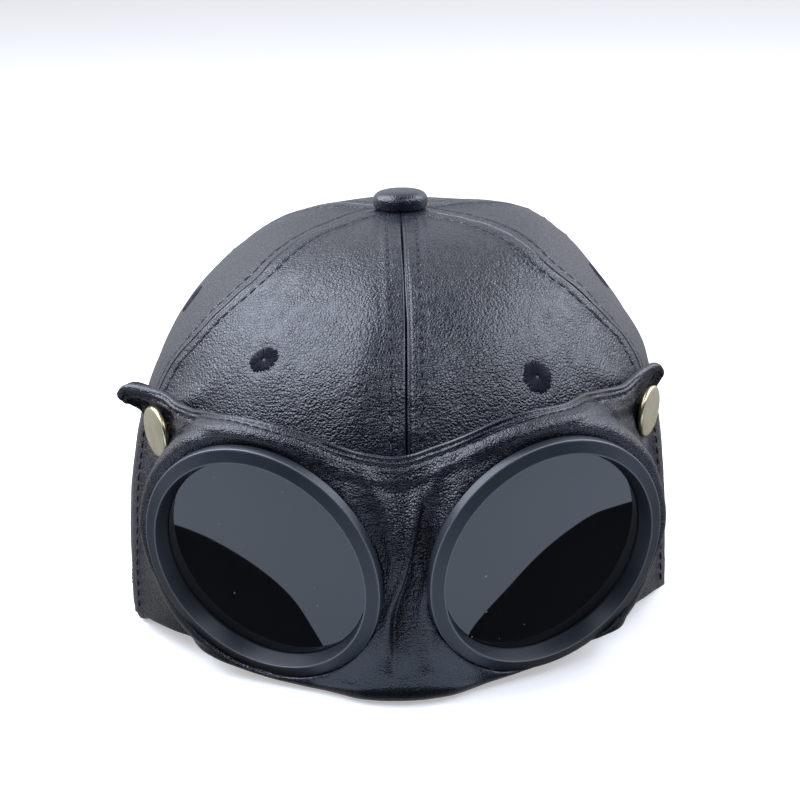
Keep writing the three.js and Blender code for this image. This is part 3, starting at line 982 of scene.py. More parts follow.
class Nodes:
    """Short way to place and link the nodes of one tree."""

    def __init__(self, tree: bpy.types.NodeTree) -> None:
        """Takes an empty node tree."""
        self.tree = tree
        tree.nodes.clear()

    def add(self, kind: str, **settings: object) -> bpy.types.Node:
        """Adds a node and sets its properties, or its inputs where a value's name is an input.

        Args:
            kind: The node's type name.
            **settings: Properties, with inputs under in_NAME.

        Returns:
            The node.
        """
        node = self.tree.nodes.new(kind)
        for key, value in settings.items():
            if key.startswith("in_"):
                node.inputs[key[3:].replace("_", " ")].default_value = value
            else:
                setattr(node, key, value)
        return node

    def link(self, source: bpy.types.NodeSocket, target: bpy.types.NodeSocket) -> None:
        """Links two sockets."""
        self.tree.links.new(source, target)

    def feed(self, node: bpy.types.Node, values: dict[int, object]) -> bpy.types.Node:
        """Gives inputs of a node, by number, their values or links.

        Args:
            node: The node.
            values: A value or a socket for each input.

        Returns:
            The node.
        """
        for i, value in values.items():
            if isinstance(value, bpy.types.NodeSocket):
                self.link(value, node.inputs[i])
            else:
                node.inputs[i].default_value = value
        return node

    def math(self, operation: str, a: object, b: object = 0.0, clamp: bool = False) -> bpy.types.NodeSocket:
        """Adds a Math node and gives its result."""
        return self.feed(self.add("ShaderNodeMath", operation=operation, use_clamp=clamp), {0: a, 1: b}).outputs[0]

    def scaled(self, value: object, factor: object, start: float) -> bpy.types.NodeSocket:
        """A value times a factor, plus a start."""
        return self.math("ADD", self.math("MULTIPLY", value, factor), start)

    def mix(self, share: object, a: object, b: object) -> bpy.types.NodeSocket:
        """Adds a Mix node for colours and gives its result."""
        return self.feed(self.add("ShaderNodeMix", data_type="RGBA"), {0: share, 6: a, 7: b}).outputs[2]

    def noise(self, scale: float, detail: float) -> bpy.types.NodeSocket:
        """Adds a noise texture in object coordinates and gives its value.

        Args:
            scale: Its scale.
            detail: Its octaves.

        Returns:
            The value's socket.
        """
        node = self.add("ShaderNodeTexNoise", in_Scale=scale, in_Detail=detail)
        self.link(self.coords(), node.inputs["Vector"])
        return node.outputs["Fac"]

    def coords(self) -> bpy.types.NodeSocket:
        """Object coordinates."""
        return self.add("ShaderNodeTexCoord").outputs["Object"]

    def shared(self, name: str, **inputs: float) -> bpy.types.Node:
        """Adds a shared node group, with values for its inputs.

        Args:
            name: The group's name.
            **inputs: Values by input.

        Returns:
            The group's node.
        """
        node = self.add("ShaderNodeGroup", node_tree=Effects.get(name))
        for label, value in inputs.items():
            node.inputs[label].default_value = value
        return node

    def wear_and_highlight(self) -> bpy.types.NodeSocket:
        """How far a place is rubbed, as stored on the mesh; on the frames' edges the same value is a painted
        highlight.
        """
        return self.add("ShaderNodeAttribute", attribute_name="wear_and_highlight").outputs["Fac"]

    def bumped(
        self, height: bpy.types.NodeSocket, shader: bpy.types.Node, depth: float, **sockets: float
    ) -> bpy.types.Node:
        """Feeds a height through a Bump node into a shader's Normal.

        Args:
            height: The height.
            shader: The shader.
            depth: Depth in millimetres.
            **sockets: Values of the Bump node's own inputs.

        Returns:
            The Bump node.
        """
        relief = self.add("ShaderNodeBump", in_Distance=depth * MM, **sockets)
        self.link(height, relief.inputs["Height"])
        self.link(relief.outputs[0], shader.inputs["Normal"])
        return relief

    def ramp(self, value: bpy.types.NodeSocket, low: float, high: float) -> bpy.types.NodeSocket:
        """Maps a value to 0 at low and 1 at high, eased.

        Args:
            value: The value's socket.
            low: Value that becomes 0.
            high: Value that becomes 1.

        Returns:
            The result's socket.
        """
        node = self.add("ShaderNodeMapRange", interpolation_type="SMOOTHSTEP")
        self.link(value, node.inputs["Value"])
        node.inputs["From Min"].default_value = low
        node.inputs["From Max"].default_value = high
        return node.outputs["Result"]


def group(name: str, inputs: dict[str, float], outputs: tuple[str, ...]) -> tuple[bpy.types.NodeTree, Nodes]:
    """Makes an empty shader node group.

    Args:
        name: The group's name.
        inputs: Names and first values of its inputs.
        outputs: Names of its outputs.

    Returns:
        The group and its nodes.
    """
    tree = bpy.data.node_groups.new(name, "ShaderNodeTree")
    nodes = Nodes(tree)
    for label, value in inputs.items():
        tree.interface.new_socket(label, in_out="INPUT", socket_type="NodeSocketFloat").default_value = value
    for label in outputs:
        tree.interface.new_socket(label, in_out="OUTPUT", socket_type="NodeSocketFloat")
    return tree, nodes


def pebble_group() -> bpy.types.NodeTree:
    """Pebbled leather grain: rounded cells with fine creases between them.

    Returns:
        The node group.
    """
    tree, n = group("pebbled_grain", {"Size": 0.9, "Warp": 0.35, "Pull": 0.0}, ("Height", "Crease"))
    given = n.add("NodeGroupInput")
    coords = n.coords()
    scale = n.math("DIVIDE", 1000.0, given.outputs["Size"])
    swirl = n.add("ShaderNodeTexNoise", in_Scale=520.0, in_Detail=2.0)
    n.link(coords, swirl.inputs["Vector"])
    centred = n.add("ShaderNodeVectorMath", operation="SUBTRACT")
    n.link(swirl.outputs["Color"], centred.inputs[0])
    centred.inputs[1].default_value = (0.5, 0.5, 0.5)
    sized = n.add("ShaderNodeVectorMath", operation="SCALE")
    n.link(centred.outputs[0], sized.inputs[0])
    n.link(n.math("MULTIPLY", given.outputs["Warp"], 0.004), sized.inputs["Scale"])
    moved = n.add("ShaderNodeVectorMath", operation="ADD")
    n.link(coords, moved.inputs[0])
    n.link(sized.outputs[0], moved.inputs[1])
    cells = n.add("ShaderNodeTexVoronoi", feature="F1")
    edges = n.add("ShaderNodeTexVoronoi", feature="DISTANCE_TO_EDGE")
    for node in (cells, edges):
        n.link(moved.outputs[0], node.inputs["Vector"])
        n.link(scale, node.inputs["Scale"])
    crease = n.ramp(edges.outputs["Distance"], 0.0, 0.14)
    steep = n.math("MULTIPLY", n.math("POWER", cells.outputs["Distance"], 2.0), 1.6)
    dome = n.math("SUBTRACT", 1.0, steep, clamp=True)
    fine, broad = n.noise(2300.0, 2.0), n.noise(230.0, 2.0)
    swell = n.scaled(broad, 1.2, 0.3)
    height = n.math("MULTIPLY", dome, n.scaled(crease, 0.3, 0.7))
    height = n.math("MULTIPLY", height, swell)
    height = n.math("ADD", height, n.math("MULTIPLY", fine, 0.1))
    height = n.math("ADD", height, n.math("MULTIPLY", broad, 0.9))
    out = n.add("NodeGroupOutput")
    n.link(height, out.inputs["Height"])
    n.link(n.math("SUBTRACT", 1.0, crease), out.inputs["Crease"])
    return tree


def dust_group() -> bpy.types.NodeTree:
    """Sparse specks of dust.

    Returns:
        The node group.
    """
    tree, n = group("dust_specks", {"Scale": 260.0, "Amount": 0.1}, ("Speck", "Film"))
    given = n.add("NodeGroupInput")
    cells = n.add("ShaderNodeTexVoronoi", feature="F1")
    n.link(n.coords(), cells.inputs["Vector"])
    n.link(given.outputs["Scale"], cells.inputs["Scale"])
    chance = n.add("ShaderNodeSeparateColor")
    n.link(cells.outputs["Color"], chance.inputs[0])
    picked = n.math("LESS_THAN", chance.outputs[0], given.outputs["Amount"])
    size = n.math("MULTIPLY", chance.outputs[1], 0.08)
    near = n.math("LESS_THAN", cells.outputs["Distance"], size)
    out = n.add("NodeGroupOutput")
    n.link(n.math("MULTIPLY", picked, near), out.inputs["Speck"])
    n.link(n.ramp(n.noise(60.0, 5.0), 0.35, 0.75), out.inputs["Film"])
    return tree


class Effects:
    """The shader node groups that the finishes share, each built once."""

    made: dict[str, bpy.types.NodeTree] = {}

    @classmethod
    def get(cls, name: str) -> bpy.types.NodeTree:
        """A shared group by name, built when it is first asked for.

        Args:
            name: The group's name.

        Returns:
            The group.
        """
        makers = {"pebbled_grain": pebble_group, "dust_specks": dust_group}
        if name not in cls.made:
            cls.made[name] = makers[name]()
        return cls.made[name]


def rgba(colour: Triple) -> tuple[float, float, float, float]:
    """A colour with full alpha."""
    return (*colour, 1.0)


@dataclass(frozen=True)
class Finish:
    """What all finishes share: a name, a colour and a roughness."""

    name: str
    colour: Triple
    roughness: float

    def lighter(self, factor: float) -> tuple[float, float, float, float]:
        """The colour made lighter by a factor."""
        return rgba(tuple(factor * c for c in self.colour))

    def make(self) -> bpy.types.Material:
        """Makes the material and its shader, and wires them.

        Returns:
            The material.
        """
        material = bpy.data.materials.new(self.name)
        material.use_nodes = True
        nodes = Nodes(material.node_tree)
        values = {"in_Base_Color": rgba(self.colour), "in_Roughness": self.roughness}
        shader = nodes.add("ShaderNodeBsdfPrincipled", **values)
        output = nodes.add("ShaderNodeOutputMaterial")
        nodes.link(shader.outputs[0], output.inputs["Surface"])
        self.wire(nodes, shader)
        return material

    def wire(self, n: Nodes, shader: bpy.types.Node) -> None:
        """Feeds the shader, in each finish's own way."""


@dataclass(frozen=True)
class LeatherFinish(Finish):
    """Pebbled leather, with painted shade darkening its creases, and rubbed where it folds."""

    grain: float = 0.78
    depth: float = 0.13
    shine: float = 0.72
    rubbed: Triple = (0.02, 0.024, 0.034)
    deep: Triple = (0.002, 0.0026, 0.0045)

    def wire(self, n: Nodes, shader: bpy.types.Node) -> None:
        """Feeds the shader.

        Args:
            n: The material's nodes.
            shader: Its shader.
        """
        shader.inputs["Specular IOR Level"].default_value = self.shine
        grain, patches, wear_and_highlight = n.shared("pebbled_grain", Size=self.grain), n.noise(38.0, 4.0), n.wear_and_highlight()
        tone = n.mix(n.ramp(patches, 0.3, 0.7), rgba(self.colour), self.lighter(1.5))
        # Painted shade: the grain's creases are darkened toward the deep colour.
        tone = n.mix(n.math("MULTIPLY", grain.outputs["Crease"], 0.75), tone, rgba(self.deep))
        # Lighter where rubbed: wear, and along the peak's hem partly a painted highlight.
        tone = n.mix(n.math("MULTIPLY", wear_and_highlight, 0.5, clamp=True), tone, rgba(self.rubbed))
        n.link(tone, shader.inputs["Base Color"])
        rough = n.scaled(patches, 0.16, self.roughness - 0.08)
        rough = n.math("ADD", rough, n.math("MULTIPLY", grain.outputs["Crease"], 0.3))
        n.link(n.math("SUBTRACT", rough, n.math("MULTIPLY", wear_and_highlight, 0.08)), shader.inputs["Roughness"])
        relief = n.bumped(grain.outputs["Height"], shader, self.depth)
        n.link(n.math("SUBTRACT", 1.0, n.math("MULTIPLY", wear_and_highlight, 0.8), clamp=True), relief.inputs["Strength"])


@dataclass(frozen=True)
class LiningFinish(Finish):
    """The plain napped back of the leather."""

    def wire(self, n: Nodes, shader: bpy.types.Node) -> None:
        """Feeds the shader.

        Args:
            n: The material's nodes.
            shader: Its shader.
        """
        shader.inputs["Specular IOR Level"].default_value = 0.2
        nap = n.noise(1500.0, 4.0)
        n.link(n.mix(nap, rgba(self.colour), self.lighter(1.9)), shader.inputs["Base Color"])
        n.bumped(nap, shader, 0.2, in_Strength=0.7)


@dataclass(frozen=True)
class ThreadFinish(Finish):
    """Twisted sewing or embroidery thread."""

    light: Triple = (0.03, 0.035, 0.055)

    def wire(self, n: Nodes, shader: bpy.types.Node) -> None:
        """Feeds the shader.

        Args:
            n: The material's nodes.
            shader: Its shader.
        """
        shader.inputs["Specular IOR Level"].default_value = 0.3
        strands = n.noise(2600.0, 2.0)
        n.link(n.mix(strands, rgba(self.colour), rgba(self.light)), shader.inputs["Base Color"])
        n.bumped(strands, shader, 0.08, in_Strength=0.6)


@dataclass(frozen=True)
class PlasticFinish(Finish):
    """Moulded plastic with a faint texture and a little dust, with thin painted highlights lightening the edges of
    its face.
    """

    dust: Triple = (0.3, 0.31, 0.33)

    def wire(self, n: Nodes, shader: bpy.types.Node) -> None:
        """Feeds the shader.

        Args:
            n: The material's nodes.
            shader: Its shader.
        """
        shader.inputs["Specular IOR Level"].default_value = 0.5
        dust = n.shared("dust_specks", Scale=420.0, Amount=0.05)
        tone = n.mix(n.math("MULTIPLY", dust.outputs["Film"], 0.3), rgba(self.colour), self.lighter(1.5))
        tone = n.mix(n.math("MULTIPLY", dust.outputs["Speck"], 0.35), tone, rgba(self.dust))
        # Painted highlight: thin lines along the face's outer and inner edges are lightened toward the dust
        # colour.
        tone = n.mix(n.math("MULTIPLY", n.wear_and_highlight(), 0.5), tone, rgba(self.dust))
        n.link(tone, shader.inputs["Base Color"])
        rough = n.scaled(dust.outputs["Film"], 0.1, self.roughness)
        n.link(rough, shader.inputs["Roughness"])
        n.bumped(n.noise(2400.0, 3.0), shader, 0.05, in_Strength=0.25)


@dataclass(frozen=True)
class LensFinish(Finish):
    """Polished dark lens with a few specks of dust."""

    def wire(self, n: Nodes, shader: bpy.types.Node) -> None:
        """Feeds the shader.

        Args:
            n: The material's nodes.
            shader: Its shader.
        """
        shader.inputs["IOR"].default_value = 1.75
        dust = n.shared("dust_specks", Scale=260.0, Amount=0.35)
        tone = n.mix(dust.outputs["Speck"], rgba(self.colour), rgba((0.3, 0.31, 0.26)))
        n.link(tone, shader.inputs["Base Color"])
        rough = n.scaled(dust.outputs["Speck"], 0.5, self.roughness)
        rough = n.math("ADD", rough, n.math("MULTIPLY", dust.outputs["Film"], 0.015))
        n.link(rough, shader.inputs["Roughness"])


@dataclass(frozen=True)
class MetalFinish(Finish):
    """Polished pale brass with a fine texture, worn a little darker in places."""

    tarnish: Triple = (0.36, 0.25, 0.1)

    def wire(self, n: Nodes, shader: bpy.types.Node) -> None:
        """Feeds the shader.

        Args:
            n: The material's nodes.
            shader: Its shader.
        """
        shader.inputs["Metallic"].default_value = 1.0
        worn = n.ramp(n.noise(240.0, 5.0), 0.35, 0.75)
        share = n.math("ADD", n.math("MULTIPLY", worn, 0.22), n.math("MULTIPLY", n.wear_and_highlight(), 0.75), clamp=True)
        n.link(n.mix(share, rgba(self.colour), rgba(self.tarnish)), shader.inputs["Base Color"])
        n.link(n.scaled(worn, 0.12, self.roughness), shader.inputs["Roughness"])
        n.bumped(n.noise(5200.0, 2.0), shader, 0.02, in_Strength=0.12)


@dataclass(frozen=True)
class FloorFinish(Finish):
    """Plain pale paper, lit a little from behind and less so toward its front."""

    glow: float = 0.0
    tint: Triple = (1.0, 1.0, 1.0)
    fade: float = 1.0

    def wire(self, n: Nodes, shader: bpy.types.Node) -> None:
        """Feeds the shader.

        Args:
            n: The material's nodes.
            shader: Its shader.
        """
        shader.inputs["Specular IOR Level"].default_value = 0.1
        shader.inputs["Emission Strength"].default_value = self.glow
        split = n.add("ShaderNodeSeparateXYZ")
        n.link(n.coords(), split.inputs[0])
        near = n.ramp(split.outputs["Y"], -0.22, -0.1)
        dim = tuple(self.fade * c for c in self.tint)
        n.link(n.mix(near, rgba(dim), rgba(self.tint)), shader.inputs["Emission Color"])


class Wardrobe:
    """The finishes of the cap, each made once."""

    def __init__(self) -> None:
        """Makes every material."""
        self.crown = LeatherFinish("crown_leather", (0.0045, 0.0065, 0.013), 0.2).make()
        self.peak = LeatherFinish("peak_leather", (0.0045, 0.006, 0.011), 0.18, grain=0.72, shine=0.65).make()
        self.lining = LiningFinish("leather_back", (0.012, 0.013, 0.017), 0.85).make()
        self.thread = ThreadFinish("navy_thread", (0.004, 0.005, 0.01), 0.75).make()
        self.stitch = ThreadFinish("seam_thread", (0.008, 0.009, 0.014), 0.5, light=(0.05, 0.055, 0.075)).make()
        self.frame = PlasticFinish("frame_plastic", (0.018, 0.023, 0.029), 0.34).make()
        self.lens = LensFinish("lens_tint", (0.0035, 0.004, 0.006), 0.02).make()
        self.stud = MetalFinish("stud_brass", (0.9, 0.83, 0.6), 0.26).make()


@dataclass
class Stitching:
    """Rows of thread stitches that lie in a groove."""

    name: str
    pitch: float = 3.6
    length: float = 2.7
    radius: float = 0.24
    lift: float = 0.1
    sides: int = 6
    points: list[Array] = field(default_factory=list)
    faces: list[Array] = field(default_factory=list)
    count: int = 0

    def row(self, line: Array, normals: Array) -> None:
        """Sews one row along a line.

        Args:
            line: Points along the groove.
            normals: Outward directions at those points.
        """
        far = arc_lengths(line)
        total = far[-1]
        centres = np.arange(self.pitch / 2, total - self.pitch / 2, self.pitch)
        if not len(centres):
            return
        stations = np.array([-0.5, -0.42, 0.0, 0.42, 0.5]) * self.length
        widths = np.array([0.35, 0.85, 1.0, 0.85, 0.35]) * self.radius
        lifts = np.array([-0.3, 0.0, 0.12, 0.0, -0.3]) + self.lift
        at = centres[:, None] + stations[None, :]
        spot, out = sample(at, far, line), unit(sample(at, far, normals))
        along = unit(np.gradient(spot, axis=1))
        side = unit(np.cross(along, out))
        turn = np.linspace(0, 2 * np.pi, self.sides, endpoint=False)
        ring = side[:, :, None] * np.cos(turn)[:, None] + out[:, :, None] * np.sin(turn)[:, None]
        tube = (spot + out * lifts[:, None])[:, :, None] + ring * widths[:, None, None]
        n, m = len(stations), self.sides
        base = self.count + np.arange(len(centres))[:, None] * n * m
        k = np.arange((n - 1) * m)
        i, j = k // m, k % m
        quads = np.stack([i * m + j, i * m + (j + 1) % m, (i + 1) * m + (j + 1) % m, (i + 1) * m + j], axis=-1)
        self.faces.extend((base[:, :, None] + quads[None]).reshape(-1, 4).tolist())
        caps = [list(range(m))[::-1], list(range((n - 1) * m, n * m))]
        for b in base[:, 0]:
            self.faces.extend([[int(b) + c for c in cap] for cap in caps])
        self.points.append(tube.reshape(-1, 3))
        self.count += tube.reshape(-1, 3).shape[0]

    def build(self, material: bpy.types.Material) -> bpy.types.Object:
        """Makes one mesh of all the stitches.

        Args:
            material: The thread.

        Returns:
            The object.
        """
        piece = mesh_object(self.name, np.concatenate(self.points), self.faces)
        piece.data.materials.append(material)
        return piece


@dataclass(frozen=True)
class EyeletSpec:
    """Where one embroidered eyelet is."""

    name: str
    at: float
    up: float
    squash: float = 1.0
    lean: float = 0.0


EYELETS = (
    EyeletSpec("front_left", 29.6, 82.4),
    EyeletSpec("side_left", 90, 96),
    EyeletSpec("back_left", 150, 90),
    EyeletSpec("back_right", -150, 90),
    EyeletSpec("side_right", -90, 92),
    EyeletSpec("front_right", -32.2, 88.2, squash=0.74, lean=28.0),
)


@dataclass
class Crown:
    """The six sewn panels, with their seams, stitching and rim."""

    wardrobe: Wardrobe
    step: float = 1.0
    seam_band: float = 4.4
    band_rise: float = 0.3
    groove: float = 0.42
    pucker: float = 0.26
    welt: float = 0.45
    rim_row: float = 7.0
    panel_width: float = 92.0
    panel_height: float = 150.0
    fine: tuple[float, ...] = (
        0, 0.08, 0.22, 0.42, 0.65, 0.85, 1.0, 1.15, 1.3, 1.5, 1.8, 2.3, 2.9, 3.4, 3.7, 4.0, 4.3, 4.6, 4.9, 5.3, 6,
    )
    panels: tuple[tuple[str, int, int], ...] = (
        ("panel_front_left", 0, 1),
        ("panel_side_left", 1, 2),
        ("panel_back_left", 2, 3),
        ("panel_back_right", -3, -2),
        ("panel_side_right", -2, -1),
        ("panel_front_right", -1, 0),
    )

    def base(self, first: int, last: int) -> tuple[Array, Array]:
        """The plain outer surface of a panel.

        Args:
            first: Number of the seam it starts at.
            last: Number of the seam it ends at.

        Returns:
            The grid of points, and how far each is from the rim.
        """
        share = edge_steps(self.panel_width, self.step, self.fine) / self.panel_width
        number = lerp(first, last, share)
        foot = CROWN.seam_bearing(number, 0.0)
        low = CROWN.climb_at(foot, CROWN.rim_height(foot))
        high = CROWN.climb_in(CROWN.seam_bearing(number, math.pi / 2), CROWN.top_hole)
        t = np.linspace(0, 1, 400)[None, :]
        climb = lerp(low[:, None], high[:, None], t)
        path = CROWN.point(CROWN.seam_bearing(number[:, None], climb), climb)
        far = arc_lengths(path)
        edge = np.array([0.0, 0.08, 0.22, 0.5, 0.9, 1.5])
        rows = int(self.panel_height / self.step)
        height = [np.concatenate([edge, np.linspace(edge[-1], end, rows)[1:]]) for end in far[:, -1]]
        return np.array([sample(*line) for line in zip(height, far, path)]), np.array(height)

    def dress(self, name: str, first: int, last: int, stitches: Stitching) -> bpy.types.Object:
        """Builds one panel and sews its rows.

        Args:
            name: The panel's node.
            first: Number of the seam it starts at.
            last: Number of the seam it ends at.
            stitches: Where the stitches are gathered.

        Returns:
            The panel.
        """
        base, rise = self.base(first, last)
        normal = grid_normals(base)
        across = arc_lengths(np.swapaxes(base, 0, 1)).T
        left, right = across, across[-1:] - across
        near = np.minimum(left, right)
        top = rise[:, -1:] - rise
        seam = np.where(left < right, first, last)
        middle = base - normal * LEATHER / 2
        form, skin = self.relief(base, near, rise, top, seam)
        if first == 0:
            skin -= self.welt * bump(left, 1.2, 0.28) * smoothstep(top, 2.0, 9.0)
        edge = np.minimum(np.minimum(near, rise), top)
        half = LEATHER / 2 * rounded(edge, 0.55)
        shown = smoothstep(edge, 0.0, 0.6)
        outer = middle + normal * (half + (form + skin) * shown)[..., None]
        inner = middle - normal * (half - form * shown)[..., None]
        wear_and_highlight = bump(near, 0.6, 0.45) * 0.9 + 0.5 * bump(rise, 0.8, 0.6)
        piece = Shell(f"{name}_leather", outer, inner, wear_and_highlight).build()
        piece.data.materials.append(self.wardrobe.crown)
        piece.data.materials.append(self.wardrobe.lining)
        self.sew(outer, normal, left, right, rise, stitches)
        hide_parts(name)
        return piece

    def relief(self, base: Array, near: Array, rise: Array, top: Array, seam: Array) -> tuple[Array, Array]:
        """How far the dressed leather stands out from the plain surface.

        Args:
            base: The plain surface.
            near: Distance from the nearest seam.
            rise: Distance from the rim.
            top: Distance from the top.
            seam: Number of the nearest seam.

        Returns:
            Distances outward of the whole wall, and of the outer face alone.
        """
        along = np.stack([rise, near * 0.35, seam * 40.0], axis=-1)
        band = self.band_rise * (1 - smoothstep(near, self.seam_band + 0.3, self.seam_band + 2.8))
        deep = np.where(seam == 0, 0.3, 1.0)
        groove = -self.groove * bump(near, self.seam_band, 0.5) * deep
        pucker = self.pucker * WRINKLES(along, 6.5) * np.exp(-((near / 9.0) ** 2))
        pucker += 0.5 * self.pucker * WRINKLES(along + 31.0, 3.4) * bump(near, self.seam_band, 2.2)
        soft = 0.55 * WRINKLES(base, 38.0) + 0.22 * WRINKLES(base + 70.0, 15.0)
        soft = soft + 0.07 * WRINKLES(base + 140.0, 6.0)
        hem = 0.3 * (1 - smoothstep(rise, self.rim_row - 0.3, self.rim_row + 2.5))
        hem = hem - 0.4 * bump(rise, self.rim_row, 0.55)
        form, skin = pucker + soft, band + groove + hem * (1 - band)
        for eyelet in EYELETS:
            middle, _ = CROWN.seat(eyelet.at, eyelet.up)
            far = np.linalg.norm(base - middle, axis=-1)
            calm = 1 - np.exp(-((far / 8.5) ** 4))
            form = form * calm + 0.07 * bump(far, 6.6, 1.6)
            skin = skin * calm - 0.12 * (1 - smoothstep(far, 4.4, 5.6))
        free = smoothstep(top, 2.0, 9.0)
        return form * free, skin * free

    def sew(
        self, outer: Array, normal: Array, left: Array, right: Array, rise: Array, stitches: Stitching
    ) -> None:
        """Sews a row beside each seam and one above the rim.

        Args:
            outer: The dressed surface.
            normal: Its outward directions.
            left: Distance from the first seam.
            right: Distance from the last seam.
            rise: Distance from the rim.
            stitches: Where the stitches are gathered.
        """
        for grid, out, far in ((outer, normal, left), (outer[::-1], normal[::-1], right[::-1])):
            rows = [j for j in range(8, outer.shape[1] - 12) if far[-1, j] > 2.6 * self.seam_band]
            line, side = ([sample(self.seam_band, far[:, j], g[:, j]) for j in rows] for g in (grid, out))
            stitches.row(np.array(line), np.array(side))
        columns = range(14, outer.shape[0] - 14)
        line, side = ([sample(self.rim_row, rise[i], g[i]) for i in columns] for g in (outer, normal))
        stitches.row(np.array(line), np.array(side))

    def build(self) -> list[bpy.types.Object]:
        """Builds all the panels and their stitching.

        Returns:
            The pieces.
        """
        stitches = Stitching("crown_stitching")
        pieces = [self.dress(name, first, last, stitches) for name, first, last in self.panels]
        thread = stitches.build(self.wardrobe.stitch)
        return [*pieces, thread]


@dataclass
class Eyelet:
    """One vent eyelet, worked in satin stitch round a small hole."""

    spec: EyeletSpec
    wardrobe: Wardrobe
    seed: int
    spokes: int = 46
    bore: float = 0.45
    reach: float = 4.85
    jag: float = 0.42
    height: float = 0.32

    def build(self) -> bpy.types.Object:
        """Builds the ring of satin stitches.

        Returns:
            The piece.
        """
        rng = np.random.default_rng(self.seed)
        point, normal = CROWN.seat(self.spec.at, self.spec.up)
        across = unit(np.cross(normal, np.array([0.0, 0.0, 1.0])))
        upward = np.cross(across, normal) * -1.0
        lean = math.radians(self.spec.lean)
        long = across * math.cos(lean) + upward * math.sin(lean)
        short = (upward * math.cos(lean) - across * math.sin(lean)) * self.spec.squash
        stations = np.array([0.0, 0.12, 0.4, 0.72, 0.94, 1.0])
        lifts = np.array([-0.5, 0.55, 1.0, 0.95, 0.45, -0.35]) * self.height
        points, faces = [], []
        for k in range(self.spokes):
            turn = 2 * math.pi * (k + 0.25 * rng.uniform(-1, 1)) / self.spokes
            end = self.reach + self.jag * rng.uniform(-1, 1)
            radius = lerp(self.bore, end, stations)
            wide = np.pi * radius / self.spokes * np.array([1.3, 1.2, 1.1, 1.0, 0.85, 0.6])
            ray = long * math.cos(turn) + short * math.sin(turn)
            beside = short * math.cos(turn) - long * math.sin(turn)
            sag = radius**2 / 190.0
            spine = point + ray * radius[:, None] + normal * (lifts - sag)[:, None]
            ring = np.stack(
                [
                    spine - beside * wide[:, None] - normal * 0.14,
                    spine + normal * 0.1,
                    spine + beside * wide[:, None] - normal * 0.14,
                    spine - normal * 0.5,
                ],
                axis=1,
            )
            start = len(points) * ring.shape[0] * 4
            points.append(ring.reshape(-1, 3))
            for i in range(len(stations) - 1):
                for j in range(4):
                    a, b = start + i * 4 + j, start + i * 4 + (j + 1) % 4
                    faces.append([a, b, b + 4, a + 4])
            faces.append([start + 3, start + 2, start + 1, start])
            last = start + (len(stations) - 1) * 4
            faces.append([last, last + 1, last + 2, last + 3])
        piece = mesh_object(f"eyelet_{self.spec.name}_satin", np.concatenate(points), faces)
        with editing(piece) as work:
            bmesh.ops.recalc_face_normals(work, faces=work.faces)
        piece.data.materials.append(self.wardrobe.thread)
        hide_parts(f"eyelet_{self.spec.name}")
        return piece


@dataclass
class TopButton:
    """The leather-covered button on the crown."""

    wardrobe: Wardrobe
    base: float = 119.2
    profile: Profile = (
        (0.0, -7.0), (2.1, -7.0), (2.1, -0.6), (6.9, -0.5), (7.7, -0.1), (8.25, 0.7), (8.5, 1.7), (8.45, 2.9),
        (8.15, 3.7), (7.6, 4.4), (6.7, 4.95), (5.3, 5.3), (3.6, 5.5), (1.8, 5.58), (0.0, 5.6),
    )

    def build(self) -> bpy.types.Object:
        """Builds the button.

        Returns:
            The piece.
        """
        matrix = Matrix.Translation((CROWN.lean, 0, self.base))
        piece = spun("top_button_leather", self.profile, matrix, segments=96, angle=50.0)
        points = millimetres(piece)
        up = points[:, 2] - self.base
        points = points - np.array([CROWN.lean, 0.0, 0.0])
        turn = np.arctan2(points[:, 0], -points[:, 1])
        side = bump(up, 1.8, 2.2) * (up > -0.4)
        ripple = 0.22 * WRINKLES(np.stack([np.cos(turn) * 9, np.sin(turn) * 9, up * 0.6], axis=-1), 2.6)
        seam = -0.35 * sum(bump(np.abs(np.angle(np.exp(1j * (turn - k)))), 0.0, 0.1) for k in (0.02, 2.1, -2.1))
        radial = unit(points * np.array([1.0, 1.0, 0.0]))
        points = points + radial * ((ripple + seam) * side)[:, None] + np.array([CROWN.lean, 0.0, 0.0])
        for vertex, place_m in zip(piece.data.vertices, to_metres(points)):
            vertex.co = place_m
        paint(piece, "wear_and_highlight", 0.6 * smoothstep(up, -1.0, 1.0))
        piece.data.materials.append(self.wardrobe.crown)
        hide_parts("top_button")
        return piece


@dataclass(frozen=True)
class StudSpec:
    """Where one snap stud is."""

    side: str
    at: float
    up: float
    nod: float = -13.0

    def seat(self) -> tuple[Array, Array]:
        """Middle of the stud's foot and the direction it faces, which nods down from the leather's own.

        Returns:
            The point and the direction.
        """
        point, normal = PEAK.seat_of(self.at, self.up)
        level = unit(normal * np.array([1.0, 1.0, 0.0]))
        lean = math.atan2(normal[2], float(np.hypot(normal[0], normal[1]))) + math.radians(self.nod)
        return point, level * math.cos(lean) + np.array([0.0, 0.0, math.sin(lean)])


STUDS = (StudSpec("left", 57.2, 65.6), StudSpec("right", -53.8, 64.6))


